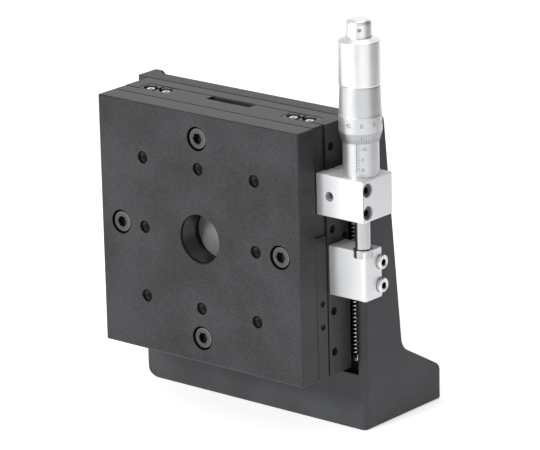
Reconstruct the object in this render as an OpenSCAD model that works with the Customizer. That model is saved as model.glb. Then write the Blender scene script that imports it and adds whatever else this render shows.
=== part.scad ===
// Vertical crossed-roller stage on an angle bracket, driven by a micrometer head on its right side.
// X runs to the right, Y to the back and Z up. The origin is the centre of the foot's underside.
// The table is drawn at the middle of its travel. Heights named with _z count from the stage's
// centre, unless the comment says that they count from the foot's underside.

/* [Stage] */
// Side of the square table and of the two plates behind it
stage_side = 125; // [120:1:132]
// Height of the table's lower edge over the foot's underside
stage_lift = 31; // [26:1:40]
// Travel of the table, up or down from the middle
travel = 12.5; // [10:0.5:13.5]

/* [Table plate] */
// Thickness of the table plate
table_t = 12; // [10:0.5:16]
// Diameter of the bore through the middle of the table
table_bore_d = 24; // [16:1:36]
// Width of the chamfer round the mouth of the table's bore
bore_chamfer = 0.5; // [0.2:0.1:1]
// Distance from the table's edge to the outer tapped holes
tap_edge = 27.5; // [24.5:0.5:32.5]
// Diameter of a tapped hole
tap_d = 6; // [5:0.5:8]
// Width of the chamfer at the mouth of a tapped hole
tap_chamfer = 0.4; // [0.2:0.1:0.8]
// Distance from the table's edge to the screws that hold it
table_screw_edge = 12.5; // [10.5:0.5:16]
// Chamfer along the edges of the plates
plate_chamfer = 0.5; // [0.2:0.1:1]

/* [Carriage] */
// Thickness of the carriage plate
carriage_t = 8; // [7.5:0.5:10]
// Running gap between the carriage's tongue and the floor of the base
tongue_gap = 0.4; // [0.3:0.1:0.8]
// Depth of the recess behind the table's bore
bore_recess = 2; // [1:0.5:4]
// Width that this recess stands out round the bore
recess_step = 0.5; // [0.2:0.1:1]
// Depth of the flat milled into the right side for the holder block
relief_d = 1; // [0.5:0.1:1.5]
// Distance that this flat reaches below the holder block
relief_drop = 11.6; // [6:0.1:14]
// Width of the open slot in the top of the tongue
slot_w = 27; // [20:1:34]
// Depth of this slot from the tongue's rear face
slot_d = 5.1; // [4:0.1:6]
// Height of this slot
slot_h = 15; // [8:1:20]
// Width of the channel that holds the inner spring
channel_w = 8; // [7:0.5:12]
// Depth of this channel from the tongue's rear face
channel_d = 5.4; // [5.2:0.1:6.5]

/* [Ways] */
// Width of a rail, from its groove side to its back
rail_w = 8.7; // [8.2:0.1:9.5]
// Height of a rail over the face that it is screwed to
rail_h = 8.4; // [8:0.1:9.5]
// Gap between the two rails of a pair
rail_gap = 1.2; // [1:0.1:1.6]
// Running gap between a rail and the plate that it isn't screwed to
rail_step = 0.6; // [0.4:0.1:1]
// Distance that a rail ends inside the plate's edge
rail_inset = 0.2; // [0:0.1:1]
// Diameter of a roller
roller_d = 3; // [2.5:0.1:3.4]
// Distance from one roller to the next
roller_pitch = 5; // [4.5:0.1:6]
// Number of rollers in a cage
roller_count = 19; // [13:2:21]
// Thickness of a roller cage
cage_t = 0.6; // [0.4:0.1:0.8]
// Width of a roller cage across the rails
cage_w = 6; // [5.6:0.1:7]
// Number of screws that hold a rail
rail_screw_count = 5; // [3:1:7]
// Distance from a rail's end to its first screw
rail_screw_end = 12.3; // [7:0.1:16]
// Distance from a rail's back to its screws
rail_screw_inset = 4; // [3.6:0.1:4.4]

/* [Base] */
// Thickness of the base's floor
base_t = 8; // [7:0.5:12]
// Width of a flange of the base
flange_w = 8.3; // [7.5:0.1:9.5]
// Running gap between a flange and the carriage plate
flange_gap = 0.5; // [0.4:0.1:1]
// Number of preload screws in the right flange
preload_count = 6; // [4:1:7]
// Distance from the base's edge to the first preload screw
preload_end = 11.5; // [8:0.5:16]
// Depth of a preload screw's outer end below the flange's side
preload_sink = 2.5; // [1:0.1:3.5]
// Diameter of the plain hole in the base's right side
side_hole_d = 3.3; // [2:0.1:4]
// Depth of this hole
side_hole_h = 6; // [3:0.5:8]

/* [Bracket] */
// Thickness of the bracket's upright plate
upright_t = 10; // [9:0.5:14]
// Distance that the upright stands out past the stage on each side
wing_w = 8; // [7.5:0.5:12]
// Thickness of a side rib
rib_t = 4; // [3:0.5:5]
// Depth of the foot from front to back
foot_d = 59; // [55:1:75]
// Thickness of the foot's slab
foot_t = 13.5; // [10:0.5:16]
// Depth of a rib at its upper end, from the upright's front face
rib_top_d = 17.7; // [15:0.1:24]
// Depth of a rib where its back meets the slope of the foot
rib_low_d = 29.3; // [26:0.1:34]
// Height of this corner over the foot's underside
rib_low_h = 34.6; // [30:0.1:42]
// Height of the foot's rear edge
heel_h = 17.5; // [15:0.5:20]
// Radius between the rib's back and the slope of the foot
rib_low_r = 9; // [4:0.5:12]
// Radius of the heel
heel_r = 6; // [3:0.5:8]
// Radius of a rib's upper rear corner
rib_top_r = 5; // [2:0.5:7]
// Radius of the upright's front vertical edges
front_edge_r = 3; // [1:0.5:3.5]
// Radius of the other long edges of the casting
cast_edge_r = 1; // [0.5:0.1:1.5]
// Radius of the foot's lower left edge
foot_left_r = 8; // [2:0.5:10]
// Radius between the upright's back and the ribs
rib_fillet_r = 6; // [3:0.5:8]
// Radius between the upright's back and the top of the foot
foot_fillet_r = 10; // [5:0.5:14]
// Depth of the pocket in each wing, from the upright's front face
pocket_d = 6; // [5:0.5:7]
// Distance that a pocket reaches in behind the base
pocket_in = 5.5; // [3:0.5:8]
// Height of a pocket's lower end over the foot's underside
pocket_low_h = 28; // [24:1:31]
// Distance from a pocket's upper end to the bracket's top
pocket_top_wall = 10; // [6:1:14]
// Distance between the two foot bolts of a row
foot_bolt_x_pitch = 100; // [80:1:112]
// Distance between the front and the rear foot bolts
foot_bolt_y_pitch = 25; // [20:1:26]
// Distance from the foot's rear edge to the rear foot bolts
foot_bolt_rear = 14.5; // [12:0.5:18]
// Diameter of a foot bolt's hole
foot_hole_d = 6.6; // [5.5:0.1:9]
// Diameter of a foot bolt's counterbore
foot_counterbore_d = 11; // [10:0.5:14]
// Depth of this counterbore
foot_counterbore_h = 6.5; // [3:0.5:8]
// Distance between the two columns of screws that hold the base
base_screw_x_pitch = 60; // [46:1:66]
// Distance from the base's edge to these screws
base_screw_edge = 12.5; // [10.5:0.5:22]

/* [Holder block] */
// Distance from the stage's right side to the micrometer's axis
micrometer_out = 17.5; // [16:0.5:20]
// Height of the holder block
holder_h = 20.5; // [18:0.5:24]
// Height of its lower face over the stage's centre
holder_z = 20; // [18:0.5:22]
// Distance from the table's rear face back to the block's front face
holder_front = 2; // [1.8:0.1:2.4]
// Gap between the block's rear face and the upright
holder_rear_gap = 0.5; // [0.4:0.1:1]
// Gap between the block and the base's right side
holder_side_gap = 0.5; // [0.3:0.1:0.8]
// Distance from the micrometer's axis to the block's right face
holder_right = 9.5; // [8.8:0.1:12]
// Width of the clamping slit
slit_w = 1.2; // [0.6:0.1:2]
// Distance from the stage's right side to the clamp screw
clamp_screw_out = 6.9; // [5.5:0.1:7.5]
// Chamfer along the edges of the two blocks
block_chamfer = 0.4; // [0.2:0.1:0.8]

/* [Anvil block] */
// Distance from the stage's right side to the anvil block's right face
anvil_out = 21.5; // [20:0.5:25]
// Height of the anvil block
anvil_h = 24.5; // [20:0.5:28]
// Depth of the anvil block from front to back
anvil_d = 13; // [12:0.5:15]
// Gap between the anvil block's rear face and the upright
anvil_rear_gap = 2.5; // [1:0.5:3]
// Radius of its front right edge
anvil_edge_r = 2; // [1:0.5:4]
// Diameter of the hardened anvil button
button_d = 9; // [8:0.5:10]
// Height of the anvil button
button_h = 4; // [3:0.5:6]
// Height that the button stands over the block
button_proud = 0.6; // [0.3:0.1:1]
// Gap that is left over the anvil block when the table is down
anvil_clear = 4.5; // [2:0.5:6]

/* [Micrometer] */
// Diameter of the mounting stem
stem_d = 9.5; // [9.5:0.1:11]
// Diameter of the graduated sleeve
sleeve_d = 17.2; // [16:0.1:18.4]
// Thickness of the sleeve
sleeve_t = 1.55; // [1:0.05:1.8]
// Diameter of the spindle
spindle_d = 7.4; // [6:0.1:7.8]
// Diameter over the spindle's thread
thread_d = 7.9; // [7.4:0.1:8.6]
// Radial running gap of the spindle in its guide and of its thread in the nut
spindle_play = 0.05; // [0.02:0.01:0.1]
// Radial running gap between the sleeve and the thimble
thimble_play = 0.15; // [0.1:0.05:0.3]
// Gap that is left under the thimble when the table is up
thimble_clear = 4; // [2:0.5:6]
// Length of sleeve that stays inside the thimble when the table is down
sleeve_cover = 3; // [2:0.5:5]
// Length of the thimble's graduated bevel
bevel_h = 5.1; // [4:0.1:8]
// Thickness of the thimble's lower lip
lip_t = 0.2; // [0.2:0.05:0.4]
// Rise of the bevel from the lip to the band
bevel_rise = 1.35; // [0.8:0.05:1.6]
// Length of the band
band_h = 7.7; // [5:0.1:10]
// Depth of the step above the band
band_step = 0.15; // [0.1:0.05:0.3]
// Length of the thimble up to the knob
thimble_h = 27; // [25:0.5:27]
// Fall of the thimble's side from the band to the knob
thimble_taper = 0.65; // [0.3:0.05:0.65]
// Height of the thimble's upper neck over its web
neck_h = 8.5; // [7:0.5:11]
// Thickness of the web that holds the spindle
web_t = 5; // [3:0.5:7]
// Height of the adjusting nut
nut_h = 4; // [3:0.5:6]
// Thickness of the adjusting nut
nut_t = 1.2; // [0.8:0.1:1.6]
// Distance that the knob's side lies inside the band's
knob_step = 0.3; // [0:0.05:0.3]
// Thickness of the knob's lower rim
knob_rim_t = 0.7; // [0.7:0.05:0.9]
// Thickness of the knob's side
knob_t = 1.3; // [1:0.1:1.6]
// Thickness of the knob's roof
knob_roof_t = 2.5; // [2:0.1:4]
// Width of the cone round the knob's roof
knob_cone_w = 3; // [1:0.1:3.5]
// Height of this cone
knob_cone_h = 1.7; // [1:0.1:3]
// Chamfer of the knob's lower rim
knob_rim = 0.6; // [0.2:0.1:0.8]
// Diameter of the end cap
cap_d = 12.2; // [10:0.1:13]
// Height of the end cap over the knob
cap_h = 8.5; // [7:0.5:11]
// Radius of the end cap's upper edge
cap_edge_r = 2.4; // [1:0.1:3]
// Diameter of the spanner holes in the end cap
spanner_hole_d = 2; // [1:0.1:2.5]
// Depth of the spanner holes
spanner_hole_h = 3; // [1:0.5:4]

/* [Springs] */
// Outer diameter of the return spring in the right pocket
spring_d = 2.6; // [2.4:0.1:2.8]
// Diameter of its wire
spring_wire_d = 0.5; // [0.4:0.05:0.6]
// Number of its curls
spring_curls = 40; // [30:1:44]
// Outer diameter of the inner spring
inner_spring_d = 4.6; // [4:0.1:4.8]
// Diameter of the inner spring's wire
inner_wire_d = 0.7; // [0.5:0.05:0.8]
// Number of the inner spring's curls
inner_curls = 36; // [26:1:38]
// Distance from the base's lower edge to the return spring's lower pin
spring_low_edge = 4.5; // [2.5:0.5:10]
// Height of the return spring's upper pin over the holder block's lower face
spring_up_z = 4; // [3:0.5:8]
// Distance from the base's edge to the inner spring's pins
inner_pin_edge = 7.5; // [5.5:0.5:12]

/* [Fasteners] */
// Diameter of the large screws that hold the table and the base
large_screw_d = 6; // [5:0.5:6.5]
// Diameter of their heads
large_head_d = 10; // [9:0.5:10.5]
// Height of their heads
large_head_h = 6; // [5:0.5:6]
// Diameter of the counterbores for them
large_counterbore_d = 12; // [11:0.5:12]
// Diameter of the block screws
block_screw_d = 4; // [3:0.5:4]
// Diameter of the heads of the anvil block's screws
block_head_d = 7; // [6:0.5:7.5]
// Height of these heads
block_head_h = 4; // [3:0.5:5]
// Height that these heads stand out of the anvil block
block_head_proud = 2; // [1:0.5:3]
// Diameter of the holder block's screws
holder_screw_d = 3.5; // [3:0.1:3.6]
// Diameter of the heads of the holder block's screws
holder_head_d = 6.6; // [5.5:0.1:6.8]
// Diameter of the rail screws
rail_screw_d = 3; // [2:0.5:3]
// Diameter of their heads
rail_head_d = 5.5; // [4.5:0.5:5.5]
// Height of their heads
rail_head_h = 3; // [2:0.5:3]
// Diameter of the preload screws
preload_d = 4; // [3:0.5:5]
// Diameter of the carriage's set screws
set_screw_d = 3; // [2:0.5:4]
// Diameter of the clamp screw
clamp_screw_d = 2.5; // [2:0.5:3]
// Diameter of the clamp screw's head
clamp_head_d = 4.5; // [3.8:0.1:4.8]
// Diameter of the stop screws at the rails' ends
stop_screw_d = 2.5; // [2:0.1:3]
// Diameter of their heads
stop_head_d = 4.4; // [3.8:0.1:5]
// Height of their heads
stop_head_h = 1.4; // [1:0.1:1.8]
// Diameter of the counterbores for them
stop_counterbore_d = 7; // [5.5:0.1:7]
// Diameter of the dowels between the base and the bracket
dowel_d = 4; // [3:0.5:6]

/* [Hidden] */

$fn = 48;
// Overrun of a cut past the face that it leaves through
cut = 1;
// Radial gap of a screw, a pin or a piece in the hole that holds it
seat = 0.05;
// Radial gap of a screw in a hole that it passes through
pass = 0.3;
// Sides of a hexagon socket
hex_sides = 6;
// Socket's width across corners and its depth, as shares of the head
socket_d_share = 0.58;
socket_h_share = 0.55;
// Corner arcs of the casting are drawn in this many steps
arc_steps = 8;
// Gap between a screw's tip and the bottom of its hole
tip_gap = 0.5;

// Planes from front to back
upright_y = -foot_d / 2;
base_y = upright_y - base_t;
ways_h = rail_h + rail_step;
ways_y = base_y - ways_h;
table_rear_y = ways_y - carriage_t;
table_y = table_rear_y - table_t;
tongue_y = base_y - tongue_gap;
flange_y = ways_y + flange_gap;
groove_y = (ways_y + base_y) / 2;

// Heights and half widths
half = stage_side / 2;
centre_h = stage_lift + half;
bracket_h = stage_lift + stage_side;
bracket_half = half + wing_w;
table_screw_reach = half - table_screw_edge;
tap_pitch = half - tap_edge;
base_screw_reach = half - base_screw_edge;
preload_pitch = (stage_side - 2 * preload_end) / (preload_count - 1);

// Ways
base_rail_x = half - flange_w;
channel_x = base_rail_x - rail_w - rail_gap / 2;
tongue_half = channel_x - rail_gap / 2 - rail_w;
rail_half = half - rail_inset;
rail_screw_pitch = 2 * (rail_half - rail_screw_end) / (rail_screw_count - 1);
roller_play = 0.05;
groove_side = roller_d + 2 * roller_play;
groove_d = groove_side / sqrt(2) - rail_gap / 2;
roller_end_gap = 0.15;
roller_len = groove_side - 2 * roller_end_gap;
window_play = 0.1;
window_h = roller_d + 2 * window_play;
window_w = roller_len * sqrt(2) + cage_t + 2 * window_play;
cage_end = 1.5;
cage_half = (roller_count - 1) * roller_pitch / 2 + window_h / 2 + cage_end;
carriage_rail_screw_x = tongue_half + rail_screw_inset;
base_rail_screw_x = base_rail_x - rail_screw_inset;
rail_counterbore_gap = 0.25;
rail_head_sink = 0.2;
rail_screw_grip = 5;
stop_screw_h = 5;
stop_sink = 2;

// Diameters of the micrometer
stem_top_d = sleeve_d - 2 * sleeve_t - 2 * seat;
nut_seat_d = stem_top_d - 2 * nut_t;
bevel_low_d = sleeve_d + 2 * thimble_play + 2 * lip_t;
band_d = bevel_low_d + 2 * bevel_rise;
thimble_top_d = band_d - 2 * thimble_taper;
knob_d = band_d - 2 * knob_step;
neck_low_d = knob_d - 2 * knob_rim_t;
neck_d = knob_d - 2 * knob_t;
relief_play = 0.55;
stem_relief_d = thread_d + 2 * relief_play;
spindle_shoulder = 0.95;
spindle_top_d = thread_d - 2 * spindle_shoulder;
stud_wall = 1.25;
stud_d = spindle_top_d - 2 * stud_wall;

// Micrometer and blocks
micrometer_x = half + micrometer_out;
holder_front_y = table_rear_y + holder_front;
holder_rear_y = upright_y - holder_rear_gap;
micrometer_y = (holder_front_y + holder_rear_y) / 2;
holder_top_z = holder_z + holder_h;
anvil_z = holder_z - travel - anvil_clear;
anvil_rear_y = upright_y - anvil_rear_gap;
anvil_front_y = anvil_rear_y - anvil_d;
tip_z = anvil_z + button_proud;
thimble_z = holder_top_z + travel + thimble_clear;
thimble_top_z = thimble_z + thimble_h;
sleeve_top_z = holder_top_z + 2 * travel + thimble_clear + sleeve_cover;
cavity_gap = 0.5;
cavity_top_z = sleeve_top_z + travel + cavity_gap;
neck_wall = 2;
neck_step_z = max(thimble_top_z, cavity_top_z) + neck_wall;
nut_z = sleeve_top_z + cavity_gap;
nut_top_z = nut_z + nut_h;
nut_head_gap = 1.5;
web_z = nut_top_z + travel + nut_head_gap;
web_top_z = web_z + web_t;
neck_top_z = web_top_z + neck_h;
knob_top_z = neck_top_z + knob_roof_t;
cap_top_z = knob_top_z + cap_h;
guide_step = 0.5;
guide_top_z = holder_top_z + guide_step;
thread_gap = 3.5;
thread_z = guide_top_z + travel + thread_gap;
nut_thread_gap = 1.5;
nut_thread_z = thread_z + travel + nut_thread_gap;
stem_top_gap = 0.5;
tip_chamfer = 0.5;
stud_h = 8;
neck_bore_play = 0.05;
roof_gap = 0.2;

// Springs
hook_play = 0.1;
hook_angle = 240;
hook_steps = 8;
bend_steps = 3;
curl_rings = 8;
rings_apart = 6;
wire_sides = 6;
spring_r = (spring_d - spring_wire_d) / 2;
inner_r = (inner_spring_d - inner_wire_d) / 2;
pin_r = spring_r - spring_wire_d / 2 - hook_play;
inner_pin_r = inner_r - inner_wire_d / 2 - hook_play;
spring_x = half + spring_d / 2 + hook_play;
spring_y = upright_y + spring_d / 2 + hook_play + hook_play;
pin_tail = 1;
pin_grip = 3;
inner_pin_grip = 2;
spring_low_at_z = spring_low_edge - half;
inner_pin_z = half - inner_pin_edge;
spring_up_at_z = holder_z + spring_up_z;
spring_span = spring_up_at_z - spring_low_at_z;
inner_span = 2 * inner_pin_z;
inner_y = tongue_y - channel_d / 2;

// Helpers: a box between two corners, prisms along the three axes and rods

module span(x, y, z) {
  translate([x[0], y[0], z[0]]) cube([x[1] - x[0], y[1] - y[0], z[1] - z[0]]);
}

module along_x(x0, x1) {
  translate([x0, 0, 0]) rotate([90, 0, 90]) linear_extrude(x1 - x0) children();
}

module along_y(y0, y1) {
  translate([0, y1, 0]) rotate([90, 0, 0]) linear_extrude(y1 - y0) children();
}

module along_z(z0, z1) {
  translate([0, 0, z0]) linear_extrude(z1 - z0) children();
}

module rod_x(x0, x1, y, z, d) {
  translate([x0, y, z]) rotate([0, 90, 0]) cylinder(d = d, h = x1 - x0);
}

module rod_y(x, y0, y1, z, d) {
  translate([x, y1, z]) rotate([90, 0, 0]) cylinder(d = d, h = y1 - y0);
}

module rod_z(x, y, z0, z1, d) {
  translate([x, y, z0]) cylinder(d = d, h = z1 - z0);
}

module tube_z(z0, z1, outer_d, inner_d) {
  difference() {
    rod_z(0, 0, z0, z1, outer_d);
    rod_z(0, 0, z0 - cut, z1 + cut, inner_d);
  }
}

// Raises what is placed by the stage's centre to its height over the foot's underside
module on_stage() {
  translate([0, 0, centre_h]) children();
}

// Stands a turned piece of the micrometer on its axis
module on_micrometer() {
  translate([micrometer_x, micrometer_y, centre_h]) children();
}

function unit(v) = v / norm(v);

// Angle from one direction to another, between -180 and 180
function turn(a, b) = let (d = b - a) d > 180 ? d - 360 : (d < -180 ? d + 360 : d);

// The arc of radius r that rounds the corner q between p and s
function corner_arc(p, q, s, r) =
  let (
    u = unit(p - q),
    v = unit(s - q),
    bend = acos(u * v) / 2,
    centre = q + unit(u + v) * r / sin(bend),
    from = q + u * r / tan(bend) - centre,
    to = q + v * r / tan(bend) - centre,
    a = atan2(from[1], from[0]),
    sweep = turn(a, atan2(to[1], to[0]))
  )
  [for (i = [0:arc_steps]) centre + r * [cos(a + sweep * i / arc_steps), sin(a + sweep * i / arc_steps)]];

// An outline of [x, y, radius] corners, with each corner rounded by its radius
function rounded(corners) = [
  for (i = [0:len(corners) - 1])
    let (
      n = len(corners),
      c = corners[i],
      p = corners[(i + n - 1) % n],
      s = corners[(i + 1) % n],
      q = [c[0], c[1]]
    )
    each (c[2] > 0 ? corner_arc([p[0], p[1]], q, [s[0], s[1]], c[2]) : [q])
];

// A rectangle with its four corners cut off by c
module chamfered(a, b, c) {
  polygon([
    [a[0] + c, b[0]], [a[1] - c, b[0]], [a[1], b[0] + c], [a[1], b[1] - c],
    [a[1] - c, b[1]], [a[0] + c, b[1]], [a[0], b[1] - c], [a[0], b[0] + c],
  ]);
}

// A box between two corners with chamfers along all its edges
module chamfered_span(x, y, z, c) {
  intersection() {
    along_z(z[0], z[1]) chamfered(x, y, c);
    along_x(x[0], x[1]) chamfered(y, z, c);
    along_y(y[0], y[1]) chamfered(x, z, c);
  }
}

// A cap screw that stands on the seat of its head, with its shank pointing down
module cap_screw(d, shank_h, head_d, head_h) {
  difference() {
    union() {
      cylinder(d = head_d, h = head_h);
      translate([0, 0, -shank_h]) cylinder(d = d, h = shank_h);
    }
    translate([0, 0, head_h * (1 - socket_h_share)])
      cylinder(d = head_d * socket_d_share, h = head_h, $fn = hex_sides);
  }
}

// A headless screw whose socket end is at the origin, with its body pointing down
module grub_screw(d, h) {
  difference() {
    translate([0, 0, -h]) cylinder(d = d, h = h);
    translate([0, 0, -d * socket_h_share]) cylinder(d = d * socket_d_share, h = d, $fn = hex_sides);
  }
}

// Puts a child at each place of a row along Z that is centred on the stage
module row_z(count, pitch) {
  for (i = [0:count - 1]) translate([0, 0, (i - (count - 1) / 2) * pitch]) children();
}

// Fasteners' places

// Puts a child at each of the four table screws
module at_table_screws() {
  for (a = [0:90:270]) rotate([0, a, 0]) translate([0, 0, table_screw_reach]) rotate([0, -a, 0]) children();
}

// Puts a child at each of the eight tapped holes
module at_tapped_holes() {
  for (i = [-1:1], j = [-1:1]) {
    if (i != 0 || j != 0) translate([i, 0, j] * tap_pitch) children();
  }
}

module at_base_screws() {
  for (i = [-1, 1], j = [-1, 1]) {
    translate([i * base_screw_x_pitch / 2, 0, j * base_screw_reach]) children();
  }
}

module at_dowels() {
  for (i = [-1, 1]) translate([i * base_screw_x_pitch / 2, 0, 0]) children();
}

large_head_sink = 0.5;
table_seat_y = table_y + large_head_h + large_head_sink;
base_seat_y = upright_y + upright_t - large_head_h - large_head_sink;
dowel_h = 6;
anvil_screw_y = (anvil_rear_y + base_y) / 2 + block_head_d / 4;
anvil_screw_z_share = [-0.29, -0.76];
anvil_screw_grip = 7;
holder_screw_edge = 0.33;
holder_screw_y = ways_y - holder_screw_d / 2 - holder_screw_edge;
holder_screw_z_share = [0.22, 0.76];
holder_screw_grip = 7;
holder_screw_sink = 1;
holder_head_h = 3.5;
clamp_z_share = 0.49;
clamp_sink = 3;
clamp_head_h = 2.5;
clamp_grip = 6;
set_screw_z_share = [-0.4, -0.584];
set_screw_h = 6;
set_screw_sink = 0.8;
side_hole_gap = 0.6;

// Bracket

module bracket_side_outline() {
  polygon(rounded([
    [upright_y, 0, 0],
    [upright_y + foot_d, 0, cast_edge_r],
    [upright_y + foot_d, heel_h, heel_r],
    [upright_y + rib_low_d, rib_low_h, rib_low_r],
    [upright_y + rib_top_d, bracket_h, rib_top_r],
    [upright_y, bracket_h, cast_edge_r],
  ]));
}

module bracket_plan_outline() {
  polygon(rounded([
    [-bracket_half, upright_y, front_edge_r],
    [bracket_half, upright_y, front_edge_r],
    [bracket_half, upright_y + foot_d, cast_edge_r],
    [-bracket_half, upright_y + foot_d, cast_edge_r],
  ]));
}

module bracket_front_outline() {
  polygon(rounded([
    [-bracket_half, 0, foot_left_r],
    [bracket_half, 0, cast_edge_r],
    [bracket_half, bracket_h, cast_edge_r],
    [-bracket_half, bracket_h, cast_edge_r],
  ]));
}

// The open bay between the ribs, over the foot and behind the upright
module bracket_bay() {
  bay_half = bracket_half - rib_t;
  bay_y = upright_y + upright_t;
  bay_end = upright_y + foot_d + cut;
  bay_top = bracket_h + cut;
  intersection() {
    along_z(foot_t, bay_top) polygon(rounded([
      [-bay_half, bay_y, rib_fillet_r],
      [bay_half, bay_y, rib_fillet_r],
      [bay_half, bay_end, 0],
      [-bay_half, bay_end, 0],
    ]));
    along_x(-bay_half, bay_half) polygon(rounded([
      [bay_y, foot_t, foot_fillet_r],
      [bay_end, foot_t, 0],
      [bay_end, bay_top, 0],
      [bay_y, bay_top, 0],
    ]));
  }
}

module bracket_pockets() {
  inner = half - pocket_in;
  outer = bracket_half - rib_t;
  for (s = [0, 1]) mirror([s, 0, 0])
    span([inner, outer], [upright_y - cut, upright_y + pocket_d],
         [pocket_low_h, bracket_h - pocket_top_wall]);
}

module bracket() {
  foot_rear = upright_y + foot_d;
  color([0.2, 0.21, 0.23]) difference() {
    intersection() {
      along_x(-bracket_half, bracket_half) bracket_side_outline();
      along_z(0, bracket_h) bracket_plan_outline();
      along_y(upright_y, foot_rear) bracket_front_outline();
    }
    bracket_bay();
    bracket_pockets();
    for (i = [-1, 1], j = [0, 1]) {
      x = i * foot_bolt_x_pitch / 2;
      y = foot_rear - foot_bolt_rear - j * foot_bolt_y_pitch;
      rod_z(x, y, -cut, foot_t + cut, foot_hole_d);
      rod_z(x, y, foot_t - foot_counterbore_h, foot_t + foot_fillet_r, foot_counterbore_d);
    }
    on_stage() {
      at_base_screws() {
        rod_y(0, upright_y - cut, upright_y + upright_t + cut, 0, large_screw_d + 2 * pass);
        rod_y(0, base_seat_y, upright_y + upright_t + cut, 0, large_counterbore_d);
      }
      at_dowels() rod_y(0, upright_y - cut, upright_y + dowel_h + tip_gap, 0, dowel_d + 2 * seat);
      rod_y(spring_x, upright_y, upright_y + pocket_d + pin_grip, spring_low_at_z, 2 * (pin_r + seat));
    }
  }
}

// Base

module base_plate() {
  color([0.1, 0.1, 0.11]) on_stage() difference() {
    union() {
      chamfered_span([-half, half], [base_y, upright_y], [-half, half], plate_chamfer);
      for (s = [0, 1]) mirror([s, 0, 0])
        span([base_rail_x, half], [flange_y, base_y + plate_chamfer], [-half, half]);
    }
    at_base_screws() rod_y(0, base_y + tip_gap, upright_y + cut, 0, large_screw_d + 2 * seat);
    at_dowels() rod_y(0, upright_y - dowel_h - tip_gap, upright_y + cut, 0, dowel_d + 2 * seat);
    for (s = [-1, 1]) row_z(rail_screw_count, rail_screw_pitch)
      rod_y(s * base_rail_screw_x, base_y - cut, base_y + rail_screw_grip + tip_gap, 0, rail_screw_d + 2 * seat);
    row_z(preload_count, preload_pitch)
      rod_x(base_rail_x - cut, half + cut, groove_y, 0, preload_d + 2 * seat);
    for (share = anvil_screw_z_share)
      rod_x(half - anvil_screw_grip - tip_gap, half + cut, anvil_screw_y, anvil_z + share * anvil_h,
            block_screw_d + 2 * seat);
    rod_x(half - side_hole_h, half + cut, anvil_screw_y, anvil_z + side_hole_d / 2 + side_hole_gap, side_hole_d);
    rod_y(0, base_y - cut, base_y + inner_pin_grip + pin_grip, -inner_pin_z, 2 * (inner_pin_r + seat));
  }
}

module base_screws() {
  shank = base_seat_y - base_y - 2 * tip_gap;
  color([0.15, 0.15, 0.16]) on_stage() at_base_screws() translate([0, base_seat_y, 0]) rotate([-90, 0, 0])
    cap_screw(large_screw_d, shank, large_head_d, large_head_h);
}

module base_dowels() {
  color("silver") on_stage() at_dowels() rod_y(0, upright_y - dowel_h, upright_y + dowel_h, 0, dowel_d);
}

// Ways: the section of a rail, its face on the Y axis, its body towards +X and its seat at Y = 0

module rail_section() {
  polygon([
    [0, 0],
    [rail_w, 0],
    [rail_w, rail_h],
    [0, rail_h],
    [0, ways_h / 2 + groove_d],
    [groove_d, ways_h / 2],
    [0, ways_h / 2 - groove_d],
  ]);
}

module rail(screw_inset) {
  screw_x = rail_w - screw_inset;
  difference() {
    along_z(-rail_half, rail_half) rail_section();
    row_z(rail_screw_count, rail_screw_pitch) {
      rod_y(screw_x, -cut, rail_h + cut, 0, rail_screw_d + 2 * pass);
      rod_y(screw_x, rail_h - rail_head_h - rail_head_sink, rail_h + cut, 0,
            rail_head_d + 2 * rail_counterbore_gap);
    }
    for (s = [0, 1]) mirror([0, 0, s]) {
      rod_z(rail_w / 2, ways_h / 2, rail_half - stop_sink, rail_half + cut, stop_counterbore_d);
      rod_z(rail_w / 2, ways_h / 2, rail_half - stop_sink - stop_screw_h - tip_gap, rail_half + cut,
            stop_screw_d + 2 * seat);
    }
  }
}

// The right rail of the carriage, whose body lies to the left of its groove
module place_carriage_rail() {
  translate([channel_x - rail_gap / 2, ways_y, 0]) mirror([1, 0, 0]) children();
}

// The right rail of the base, which is screwed to the floor from the front
module place_base_rail() {
  translate([channel_x + rail_gap / 2, base_y, 0]) mirror([0, 1, 0]) children();
}

module rail_screws() {
  seat_y = rail_h - rail_head_h - rail_head_sink;
  row_z(rail_screw_count, rail_screw_pitch)
    translate([rail_w - rail_screw_inset, seat_y, 0]) rotate([-90, 0, 0])
      cap_screw(rail_screw_d, seat_y + rail_screw_grip, rail_head_d, rail_head_h);
}

module stop_screws() {
  for (s = [0, 1]) mirror([0, 0, s]) translate([rail_w / 2, ways_h / 2, rail_half - stop_sink])
    cap_screw(stop_screw_d, stop_screw_h, stop_head_d, stop_head_h);
}

module both_sides() {
  children();
  mirror([1, 0, 0]) children();
}

module base_rail_right() {
  color([0.2, 0.2, 0.22]) on_stage() place_base_rail() rail(rail_screw_inset);
}

module base_rail_left() {
  color([0.2, 0.2, 0.22]) mirror([1, 0, 0]) on_stage() place_base_rail() rail(rail_screw_inset);
}

module base_rail_screws() {
  color([0.15, 0.15, 0.16]) on_stage() both_sides() place_base_rail() rail_screws();
}

module base_stop_screws() {
  color("silver") on_stage() both_sides() place_base_rail() stop_screws();
}

module preload_screws() {
  screw_h = flange_w - preload_sink;
  color([0.3, 0.3, 0.32]) on_stage() row_z(preload_count, preload_pitch)
    translate([half - preload_sink, groove_y, 0]) rotate([0, 90, 0]) grub_screw(preload_d, screw_h);
}

module carriage_rail_right() {
  color([0.2, 0.2, 0.22]) on_stage() place_carriage_rail() rail(rail_screw_inset);
}

module carriage_rail_left() {
  color([0.2, 0.2, 0.22]) mirror([1, 0, 0]) on_stage() place_carriage_rail() rail(rail_screw_inset);
}

module carriage_rail_screws() {
  color([0.15, 0.15, 0.16]) on_stage() both_sides() place_carriage_rail() rail_screws();
}

module carriage_stop_screws() {
  color("silver") on_stage() both_sides() place_carriage_rail() stop_screws();
}

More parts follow.
